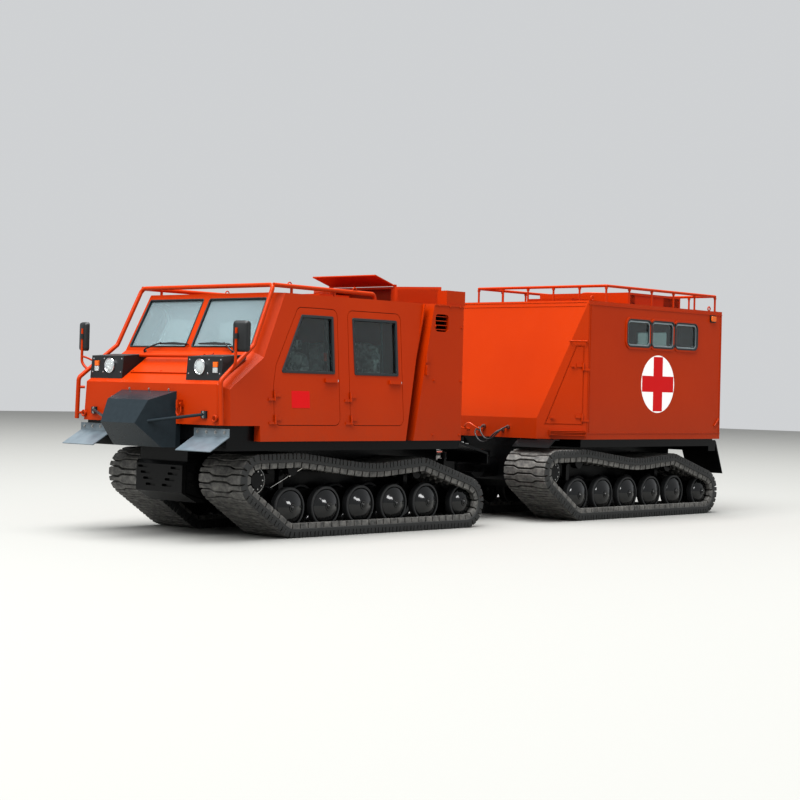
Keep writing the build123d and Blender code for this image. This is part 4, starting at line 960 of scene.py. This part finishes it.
# Radiator: a finned aluminium core, painted black, right across the cover behind the side intakes
radiator = bmesh.new()
core_half, core_foot, core_top = 0.900, 1.900, 2.390
fin_count, fin_pitch = 16, 0.015
slab(radiator, (front(-2.240), -core_half, core_foot), (front(-2.000), core_half, core_top))
for side in (1, -1):
    for i in range(fin_count):
        slab(radiator, (front(-2.236 + i * fin_pitch), side * core_half, core_foot),
             (front(-2.230 + i * fin_pitch), side * 0.912, core_top))
place("radiator", radiator, "front_car", chassis_enamel, "black_paint")
flap_turn = math.radians(17)
flap_origin = (front(-1.892), 0, 2.624)
flap_ahead = (math.cos(flap_turn), 0, math.sin(flap_turn))
for y in (-0.400, -0.200, 0, 0.200, 0.400):
    prism(flap_ribs, rounded(rectangle(0.045, y - 0.016, 0.275, y + 0.016), 0.008, 3),
          flap_origin, flap_ahead, (0, 1, 0), 0.011, 0.017)
for name, bm, body, edge in (
        ("cover_bolts", cover_bolts, "front_car", 0), ("cover_hinges", cover_trim, "front_car", 0.001),
        ("cover_latches", latches, "front_car", 0.002), ("cowl_mesh", cowl_mesh, "front_car", 0),
        ("flap_ribs", flap_ribs, "intake_flap", 0.001)):
    place(name, bm, body, *in_orange, edge=edge)

# Coupling: flame-cut plate and forgings in chassis enamel, pinned by bolted caps. The steering cylinders have
# hard-chromed ground rods and nut-locked glands; the rods are the brightest metal between the units.
hard_chrome = patterned("ground_hard_chrome", {"Metallic": 1.0, "Roughness": 0.08},
                        {"Scale": 1 / 0.03, "Detail": 4.0}, ("#A9A8A4", "#DAD9D6"))
dress(hard_chrome, "steer_rod_left", "steer_rod_right")
dress(chassis_enamel, "steer_barrel_left", "steer_barrel_right")
in_black_oxide = (black_oxide, "bare_steel")
link_z, cylinder_z = 0.600, 0.760
yaw_x, barrel_x, barrel_y, rod_x, rod_y = -3.420, -3.000, 0.300, -3.720, 0.240
cap_ring = 0.046
caps = bmesh.new()
for z, way in ((link_z + 0.100, 1), (link_z - 0.100, -1)):
    lathe(caps, [(0, 0), (0.062, 0), (0.062, 0.008), (0.058, 0.012), (0, 0.012)], (front(yaw_x), 0, z),
          (0, 0, way), 32)
    for k in range(6):
        a = math.pi * k / 3
        spot = (front(yaw_x) + cap_ring * math.cos(a), cap_ring * math.sin(a), z + way * 0.012)
        bolt(caps, spot, (0, 0, way), 0.006)
for side in (1, -1):
    bolt(caps, (front(barrel_x), side * barrel_y, cylinder_z + 0.045), (0, 0, 1), 0.012)
place("yaw_pin_caps", caps, "coupling_fork", *in_black_oxide)
for side, word in sides:
    foot = Vector((front(barrel_x), side * barrel_y, cylinder_z))
    eye = Vector((front(rod_x), side * rod_y, cylinder_z))
    axis = (eye - foot).normalized()
    gland = bmesh.new()
    lathe(gland, [(0.0325, -0.050), (0.0370, -0.050), (0.0370, -0.002), (0.0355, 0), (0.0215, 0),
                  (0.0215, 0.006)], foot + axis * 0.480, axis, 24)
    lathe(gland, [(0.0325, 0.050), (0.0365, 0.050), (0.0365, 0.085), (0.0325, 0.085)], foot, axis, 6)
    for reach in (0.100, 0.430):
        lathe(gland, [(0, 0), (0.010, 0), (0.010, 0.022), (0.007, 0.022), (0, 0.022)],
              foot + axis * reach + Vector((0, 0, 0.030)), (0, 0, 1), 6)
    place("cylinder_gland_" + word, gland, "steer_barrel_" + word, *in_black_oxide)

# Hydraulic hoses: black synthetic rubber over wire braid, 25 and 18 mm across, in stiff loops from swaged
# steel ends on the engine cover's back and the rear body's foot. Orange conduit of ribbed nylon, 14 mm, loops
# beside them. Wrap marks and ribs are really 3 mm apart, drawn at 10 and 6 mm so that the render shows them.
hose_rubber = patterned(
    "wire_braided_hose_rubber", {"IOR": 1.52, "Roughness": 0.5}, {"Scale": 1 / 0.010, "Detail": 2.0},
    ("#0E0F10", "#25272A"), bump=(0.4, 0.001))
conduit_nylon = patterned(
    "orange_conduit_nylon", {"IOR": 1.53, "Roughness": 0.4}, {"Scale": 1 / 0.006, "Detail": 2.0},
    ("#C23E0E", "#DC5518"), bump=(0.4, 0.001))


def hose(name, points, diameter, body, material, slot):
    line = pipe(name, points, diameter / 2, body, material, slot)
    bpy.context.view_layer.update()


def union(bm, spot, way, shank, bore):
    lathe(bm, [(0, 0), (0.024, 0), (0.024, 0.014), (0.018, 0.016), (0.018, shank), (bore, shank + 0.002),
               (bore, 0)], spot, (way, 0, 0), 6)


hose_ends = bmesh.new()
for k, y in enumerate((0.560, 0.500, 0.440)):
    back, z = front(-2.361), 1.260 - 0.060 * k
    start, end = (back, y, z), (back, y - 0.280, z)
    hose("tail_hose_%d" % k,
         [start, (back - 0.070, y, z), (back - 0.150, y, z - 0.020), (back - 0.260, y - 0.035, z - 0.065),
          (back - 0.305, y - 0.140, z - 0.085), (back - 0.260, y - 0.245, z - 0.065),
          (back - 0.150, y - 0.280, z - 0.020), (back - 0.070, y - 0.280, z), end],
         0.025, "front_car", hose_rubber, "track_rubber")
    for spot in (start, end):
        union(hose_ends, spot, -1, 0.050, 0.0145)
place("hose_unions", hose_ends, "front_car", *in_steel)
foot_x = front(-4.150)
for k, y in enumerate((-0.200, -0.450)):
    hose("conduit_%d" % k,
         [(foot_x, y - 0.110, 1.045), (foot_x + 0.075, y - 0.110, 1.045), (foot_x + 0.135, y - 0.075, 1.085),
          (foot_x + 0.150, y, 1.130), (foot_x + 0.135, y + 0.075, 1.085), (foot_x + 0.075, y + 0.110, 1.045),
          (foot_x, y + 0.110, 1.045)],
         0.014, "rear_car", conduit_nylon, "orange_paint")
nose_unions = bmesh.new()
for k, y in enumerate((0.300, 0.220)):
    z = 1.085 - 0.035 * k
    hose("nose_hose_%d" % k,
         [(foot_x, y, z), (foot_x + 0.075, y, z), (foot_x + 0.140, y - 0.045, z - 0.060),
          (foot_x + 0.150, y - 0.130, z - 0.150), (foot_x + 0.150, y - 0.240, z - 0.150),
          (foot_x + 0.140, y - 0.325, z - 0.060), (foot_x + 0.075, y - 0.370, z), (foot_x, y - 0.370, z)],
         0.018, "rear_car", hose_rubber, "track_rubber")
    for spot in ((foot_x, y, z), (foot_x, y - 0.370, z)):
        union(nose_unions, spot, 1, 0.040, 0.0110)
place("nose_hose_unions", nose_unions, "rear_car", *in_steel)

# Rear body: an insulated steel box. Its panels are folded and riveted under flanges, the windows have pressed
# orange rims round black rubber and anodised frames, and the sign is cut from white and red film.
anodised = patterned("anodised_aluminium", {"Metallic": 1.0, "Roughness": 0.32},
                     {"Scale": 1 / 0.02, "Detail": 3.0}, ("#8E979A", "#B9C1C3"))
white_film = patterned("white_adhesive_film", {"Base Color": linear("#F2F2F0"), "Roughness": 0.35},
                       {"Scale": 1 / 0.04}, bump=(0.1, 0.0005))
body_half, body_rear, head_x = 1.080, -7.500, -4.640
rims, window_rubber, window_frames, sheet_edges, rivets = (bmesh.new() for k in range(5))
for side, word in sides:
    across, up = (-side, 0, 0), (0, 0, 1)
    flank = ((front(0), side * body_half, 0), across, up)
    for x in (-5.660, -6.170, -6.680):
        spot = (front(x), side * body_half, 2.250)
        opening = rounded(rectangle(-0.250, -0.165, 0.250, 0.165), 0.070, 6)
        gasket(rims, opening, 0.000, 0.030, spot, across, up, -0.002, 0.012)
        gasket(window_rubber, opening, 0.012, 0.006, spot, across, up, -0.018, 0.016)
        gasket(window_frames, grown(opening, -0.012), 0.020, 0.000, spot, across, up, -0.019, 0.004)
    for z, height in ((2.550, 0.012), (1.030, 0.010)):
        prism(sheet_edges, rectangle(side * -head_x, z, side * -body_rear, z + height), *flank, 0, 0.006)
    for x in (head_x - 0.006, head_x - 0.040, body_rear + 0.030):
        prism(sheet_edges, rectangle(side * -x, 1.040, side * -(x - 0.012), 2.550), *flank, 0, 0.005)
    for i in range(24):
        x = head_x - 0.080 - i * 0.119
        for z in (2.575, 1.005):
            lathe(rivets, [(0.007, 0), (0.006, 0.002), (0.003, 0.0035), (0, 0.004)],
                  (front(x), side * body_half, z), (0, side, 0), 8)
    disc, cross = bmesh.new(), bmesh.new()
    sign = (front(-6.085), side * body_half, 1.640)
    disc_radius, arm, half_arm = 0.355, 0.335, 0.098
    angles = [2 * math.pi * k / 96 for k in range(96)]
    prism(disc, [(disc_radius * math.cos(a), disc_radius * math.sin(a)) for a in angles], sign, across, up,
          0, 0.0008)
    quarter = [(-half_arm, -arm), (half_arm, -arm), (half_arm, -half_arm)]
    outline = []
    for turn in range(4):
        outline += quarter
        quarter = [(-v, u) for u, v in quarter]
    prism(cross, outline, sign, across, up, 0.0008, 0.0014)
    place("sign_disc_" + word, disc, "rear_car", white_film, "orange_paint")
    place("sign_cross_" + word, cross, "rear_car", red_film, "orange_paint")
    # Marker lamp under the roof, and the two lifting eyes on the roof's edge
    marker, marker_base = bmesh.new(), bmesh.new()
    marker_spot = (front(-7.280), side * body_half, 2.500)
    prism(marker_base, rounded(rectangle(-0.062, -0.046, 0.062, 0.046), 0.012, 4),
          marker_spot, across, up, 0, 0.012)
    prism(marker, rounded(rectangle(-0.050, -0.034, 0.050, 0.034), 0.014, 4),
          marker_spot, across, up, 0.012, 0.028)
    place("marker_base_" + word, marker_base, "rear_car", moulded_black, "black_paint")
    place("marker_lens_" + word, marker, "rear_car", amber_lens, "lamp_glass", edge=0.003)
    for x, end in ((-4.760, "front"), (-7.270, "rear")):
        ring_eye("lifting_eye_%s_%s" % (end, word), Vector((front(x), side * 1.030, 2.632)), (1, 0),
                 0.028, 0.008, "rear_car")
    pipe("corner_stay_" + word, [(front(-7.366), side * 1.088, 1.126), (front(-7.460), side * 1.088, 1.217)],
         0.010, "rear_car", *in_orange)
place("window_rims", rims, "rear_car", *in_orange)
place("window_rubbers", window_rubber, "rear_car", *in_seal)
place("window_frames", window_frames, "rear_car", anodised, "bare_steel")
place("body_flanges", sheet_edges, "rear_car", *in_orange, edge=0.001)
place("body_rivets", rivets, "rear_car", *in_orange)

# Nose of the rear body: the sloping sheet is folded below the roof, each corner panel holds a sealed locker
# door with two T-handles and a painted-over seal, a bar handle above it and a ribbed step at its foot.
nose_fold, step = bmesh.new(), bmesh.new()
slope_up = Vector((-0.490, 0, 1.400)).normalized()
for z in (2.530, 2.575):
    rise = (z - 1.200) / slope_up.z
    half = 0.720 + 0.360 * (z - 1.200) / 1.400 - 0.020
    prism(nose_fold, rectangle(-half, rise, half, rise + 0.014),
          (foot_x, 0, 1.200), (0, 1, 0), slope_up, 0, 0.005)
for side, word in sides:
    along = (-side * 0.490, 0.360, 0)
    panel = ((foot_x, side * 0.720, 0), along, (0, 0, 1))
    corner, sideways = Vector(panel[0]), Vector(along).normalized() * side
    normal = Vector(along).normalized().cross(Vector((0, 0, 1)))
    seal, knobs = bmesh.new(), bmesh.new()
    outline = [(side * a, z) for a, z in ((0.110, 1.140), (0.550, 1.140), (0.550, 2.050), (0.470, 2.050))]
    gasket(seal, outline, -0.001, 0.0115, *panel, -0.018, -0.004)
    place("locker_seal_" + word, seal, "rear_car", *in_orange)
    for a, z in ((0.425, 1.820), (0.185, 1.210)):
        spot = corner + sideways * a + Vector((0, 0, z))
        lathe(knobs, [(0.020, 0), (0.020, 0.004), (0.007, 0.006), (0.007, 0.022)], spot, normal, 16)
        prism(knobs, rounded(rectangle(-0.030, -0.007, 0.030, 0.007), 0.006, 3), spot, *panel[1:],
              0.020, 0.030)
    place("locker_knobs_" + word, knobs, "locker_door_" + word, *in_orange)
    for k in range(4):
        level = 1.006 + 0.016 * k
        depth = 0.050 if k % 2 == 0 else 0.044
        prism(step, rectangle(side * 0.150, level, side * 0.595, level + 0.008), *panel, 0, depth)
    for a in (0.158, 0.595):
        prism(step, rectangle(side * a, 1.002, side * (a - 0.008), 1.066), *panel, 0, 0.050)
    bar = [corner + sideways * a + Vector((0, 0, 2.115)) + normal * out
           for a, out in ((0.385, 0), (0.385, 0.040), (0.400, 0.045), (0.570, 0.045), (0.585, 0.040),
                          (0.585, 0))]
    pipe("bar_handle_" + word, bar, 0.010, "rear_car", *in_orange)
place("nose_fold", nose_fold, "rear_car", *in_orange, edge=0.001)
place("corner_steps", step, "rear_car", *in_orange, edge=0.001)

# Roof rack and roof units: round tube in orange enamel, clamped at its posts by split collars. The roof unit
# has sides of diamond mesh: real diamonds are about 10 mm, drawn 30 mm apart so that the render shows them.


def lattice(bm, low, high, at, side, pitch, bar):
    (u1, v1), (u2, v2) = low, high
    for slant in (1, -1):
        start = u1 - (v2 - v1)
        count = int((u2 - start) / pitch)
        for i in range(count + 1):
            c = start + i * pitch
            left = max(u1, c)
            right = min(u2, c + v2 - v1)
            if right - left < bar:
                continue
            ends = [(left, v1 + left - c), (right, v1 + right - c)]
            if slant < 0:
                ends = [(u, v1 + v2 - v) for u, v in ends]
            (ua, va), (ub, vb) = ends
            outline = [(ua, va - bar), (ub, vb - bar), (ub, vb + bar), (ua, va + bar)]
            outline = [(side * -u, min(max(v, v1), v2)) for u, v in outline]
            level = 0.001 if slant > 0 else 0.004
            prism(bm, outline, at, (-side, 0, 0), (0, 0, 1), level, level + 0.003)


rack_collars, unit_mesh, unit_opening_shade, unit_trim = (bmesh.new() for k in range(4))
rack_front, rack_rear, rack_half, rack_top = -5.080, -7.450, 1.000, 2.800
posts = [(rack_front + i * (rack_rear - rack_front) / 5, side * rack_half)
         for i in range(6) for side in (1, -1)]
posts += [(end, rack_half - i * 2 * rack_half / 5) for end in (rack_front, rack_rear) for i in range(1, 5)]
for x, y in posts:
    lathe(rack_collars, [(0.0125, 0), (0.030, 0), (0.030, 0.006), (0.0125, 0.008)], (front(x), y, 2.6005),
          (0, 0, 1), 20)
    lathe(rack_collars, [(0.0125, 0), (0.019, 0), (0.019, 0.020), (0.0125, 0.020)],
          (front(x), y, rack_top - 0.036), (0, 0, 1), 16)
for side in (1, -1):
    flank = ((front(-6.525), side * 0.700, 0), (-side, 0, 0), (0, 0, 1))
    for u1, u2 in ((-0.540, -0.200), (0.430, 0.540)):
        lattice(unit_mesh, (u1, 2.635), (u2, 2.745), flank[0], side, 0.030, 0.0035)
        # A thin black sheet in each mesh opening is painted shade, standing in for the dark inside of the
        # roof unit
        prism(unit_opening_shade, rectangle(side * -u1, 2.635, side * -u2, 2.745), *flank, 0, 0.0008)
    for u1, v1, u2, v2 in ((-0.560, 2.620, 0.560, 2.635), (-0.560, 2.745, 0.560, 2.760),
                           (-0.560, 2.635, -0.545, 2.745), (0.545, 2.635, 0.560, 2.745)):
        prism(unit_trim, rectangle(side * -u1, v1, side * -u2, v2), *flank, 0, 0.008)
for x in (-6.200, -6.850):
    lathe(unit_trim, [(0, 0), (0.170, 0), (0.170, 0.010), (0.160, 0.018), (0.060, 0.022), (0, 0.022)],
          (front(x), 0, 2.775), (0, 0, 1), 40)
place("rack_collars", rack_collars, "rear_car", *in_orange)
place("unit_mesh", unit_mesh, "rear_car", *in_orange)
place("unit_opening_shade", unit_opening_shade, "rear_car", chassis_enamel, "black_paint")
place("unit_trim", unit_trim, "rear_car", *in_orange, edge=0.001)

# Benches: the same filmed vinyl on foam, four places a side, on a moulded base that is screwed to the floor.
bench_rear, bench_front, place_pitch, pad_gap = -7.190, -4.960, 0.5575, 0.004
bench_base = bmesh.new()
for side in (1, -1):
    for y1, y2, z1, z2 in ((0.600, 1.010, 1.001, 1.300), (0.995, 1.015, 1.300, 1.880)):
        slab(bench_base, (front(bench_rear), side * y1, z1), (front(bench_front), side * y2, z2))
benches = place("bench_bases", bench_base, "rear_car", moulded_black, "dash_plastic", edge=0.008)
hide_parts("rear_benches")
for side, word in sides:
    for k in range(4):
        x1 = bench_rear + k * place_pitch
        for part, y1, y2, z1, z2, channels in (("cushion", 0.565, 0.990, 1.295, 1.425, 2),
                                               ("back", 0.930, 1.000, 1.420, 1.895, 0)):
            low_y, high_y = sorted((side * y1, side * y2))
            foam_pad("bench_%s_%s_%d" % (part, word, k), (front(x1 + pad_gap), low_y, z1),
                     (front(x1 + place_pitch - pad_gap), high_y, z2), "rear_car", channels)

# Rear door and tail: a bulb seal round the door, a rubber-held pane, a chromed lock button on its plate, and
# three lenses a side (red, amber, clear) in black moulded housings. The mud flaps are bent plate in the
# chassis enamel.
red_lens = patterned(
    "moulded_red_acrylic",
    {"Base Color": linear("#B01018"), "IOR": 1.49, "Roughness": 0.12, "Transmission Weight": 0.2},
    {"Scale": 2 * math.pi / 0.008 / 20, "bands_direction": "Z"}, bump=(0.5, 0.001),
    texture="ShaderNodeTexWave")
tail = ((front(body_rear), 0, 0), (0, -1, 0), (0, 0, 1))
seal, pane_rubber, lever, tail_flange = (bmesh.new() for k in range(4))
gasket(seal, rectangle(-0.450, 1.040, 0.450, 2.480), -0.001, 0.0055, *tail, -0.030, -0.008)
gasket(pane_rubber, rectangle(-0.250, 1.850, 0.250, 2.350), 0.014, 0.010, *tail, -0.019, 0.006)
prism(lever, rounded(rectangle(-0.415, 1.520, -0.325, 1.620), 0.015, 4), *tail, 0, 0.005)
lathe(lever, [(0.014, 0.005), (0.014, 0.020), (0.010, 0.024), (0, 0.024)], (front(body_rear), 0.370, 1.570),
      (-1, 0, 0), 20)
place("rear_door_seal", seal, "rear_car", *in_seal)
place("rear_pane_rubber", pane_rubber, "rear_door", *in_seal)
place("rear_door_lock", lever, "rear_door", chromed_zinc, "bare_steel")
for z in (2.550, 1.020):
    prism(tail_flange, rectangle(-1.050, z, 1.050, z + 0.012), *tail, 0, 0.006)
place("tail_flanges", tail_flange, "rear_car", *in_orange, edge=0.001)
housings, reds, ambers, clears = (bmesh.new() for k in range(4))
for side in (1, -1):
    slab(housings, (front(body_rear) - 0.020, side * 0.912, 1.052), (front(body_rear), side * 1.008, 1.348))
    for lens, z1, z2 in ((ambers, 1.258, 1.340), (reds, 1.160, 1.250), (clears, 1.060, 1.152)):
        slab(lens, (front(body_rear) - 0.030, side * 0.920, z1), (front(body_rear) - 0.018, side * 1.000, z2))
lamp_housings = place("tail_lamp_housings", housings, "rear_car", moulded_black, "dash_plastic", edge=0.004)
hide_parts("tail_lamps")
place("tail_lens_red", reds, "rear_car", red_lens, "lamp_plastic", edge=0.003)
place("tail_lens_amber", ambers, "rear_car", amber_lens, "lamp_plastic", edge=0.003)
place("tail_lens_clear", clears, "rear_car", clear_lens, "lamp_glass", edge=0.003)
dress(chassis_enamel, "rear_flaps")
flap_strip = bmesh.new()
for side in (1, -1):
    for y in (0.500, 0.640, 0.780, 0.920):
        bolt(flap_strip, (front(body_rear - 0.0755), side * y, 0.915), (-1, 0, 0), 0.009)
    for y in (0.480, 0.710, 0.940):
        bolt(flap_strip, (foot_x - 0.010, side * y, 0.948), (1, 0, 0), 0.009)
place("rear_flap_bolts", flap_strip, "rear_car", *in_black_oxide)

# Running gear fittings: gas damper on the first arm, caps on each wheel arm's boss, and bolted final drives.
# The shackles hang from the tow lugs on screwed pins.
damper = bmesh.new()
drive_ring = 0.098
fittings = {unit: (bmesh.new(), bmesh.new()) for unit in ("front", "rear")}
for side in (1, -1):
    start, end = Vector((front(0.161), side * 0.800, 0.489)), Vector((front(-0.273), side * 0.800, 0.690))
    axis = (end - start).normalized()
    length = (end - start).length
    lathe(damper, [(0, 0), (0.009, 0), (0.009, length * 0.55), (0.020, length * 0.55), (0.020, length),
                   (0, length)], start, axis, 20)
    for unit, axle in units:
        arm_caps, drive_bolts = fittings[unit]
        for i in range(5):
            lathe(arm_caps, [(0.058, 0), (0.066, 0), (0.066, 0.010), (0.058, 0.012)],
                  (axle - wheel_pitch * i, side * 0.735, 0.295), (0, side, 0), 28)
        for k in range(8):
            a = math.pi * k / 4
            spot = (axle + drive_x + drive_ring * math.cos(a), side * 0.4295,
                    drive_z + drive_ring * math.sin(a))
            bolt(drive_bolts, spot, (0, side, 0), 0.007)
for unit, (arm_caps, drive_bolts) in fittings.items():
    place(unit + "_arm_caps", arm_caps, unit + "_car", chassis_enamel, "black_paint")
    place(unit + "_drive_bolts", drive_bolts, unit + "_car", *in_steel)
place("front_dampers", damper, "front_car", hard_chrome, "bare_steel")
shackles = bmesh.new()
for side, word in sides:
    pin = Vector((front(1.105), side * 0.500, 1.305))
    lathe(shackles, [(0, -0.034), (0.013, -0.034), (0.013, 0.034), (0, 0.034)], pin, (0, 1, 0), 16)
    lathe(shackles, [(0, 0.030), (0.020, 0.030), (0.020, 0.040), (0, 0.040)], pin, (0, side, 0), 6)
    bow = [(0, 0.026, 0.000), (0.0, 0.028, -0.050), (0.004, 0.034, -0.085), (0.006, 0.0, -0.122),
           (0.004, -0.034, -0.085), (0.0, -0.028, -0.050), (0, -0.026, 0.000)]
    pipe("shackle_bow_" + word, [pin + Vector(point) for point in bow], 0.009, "front_car", *in_orange)
place("shackle_pins", shackles, "front_car", *in_orange)
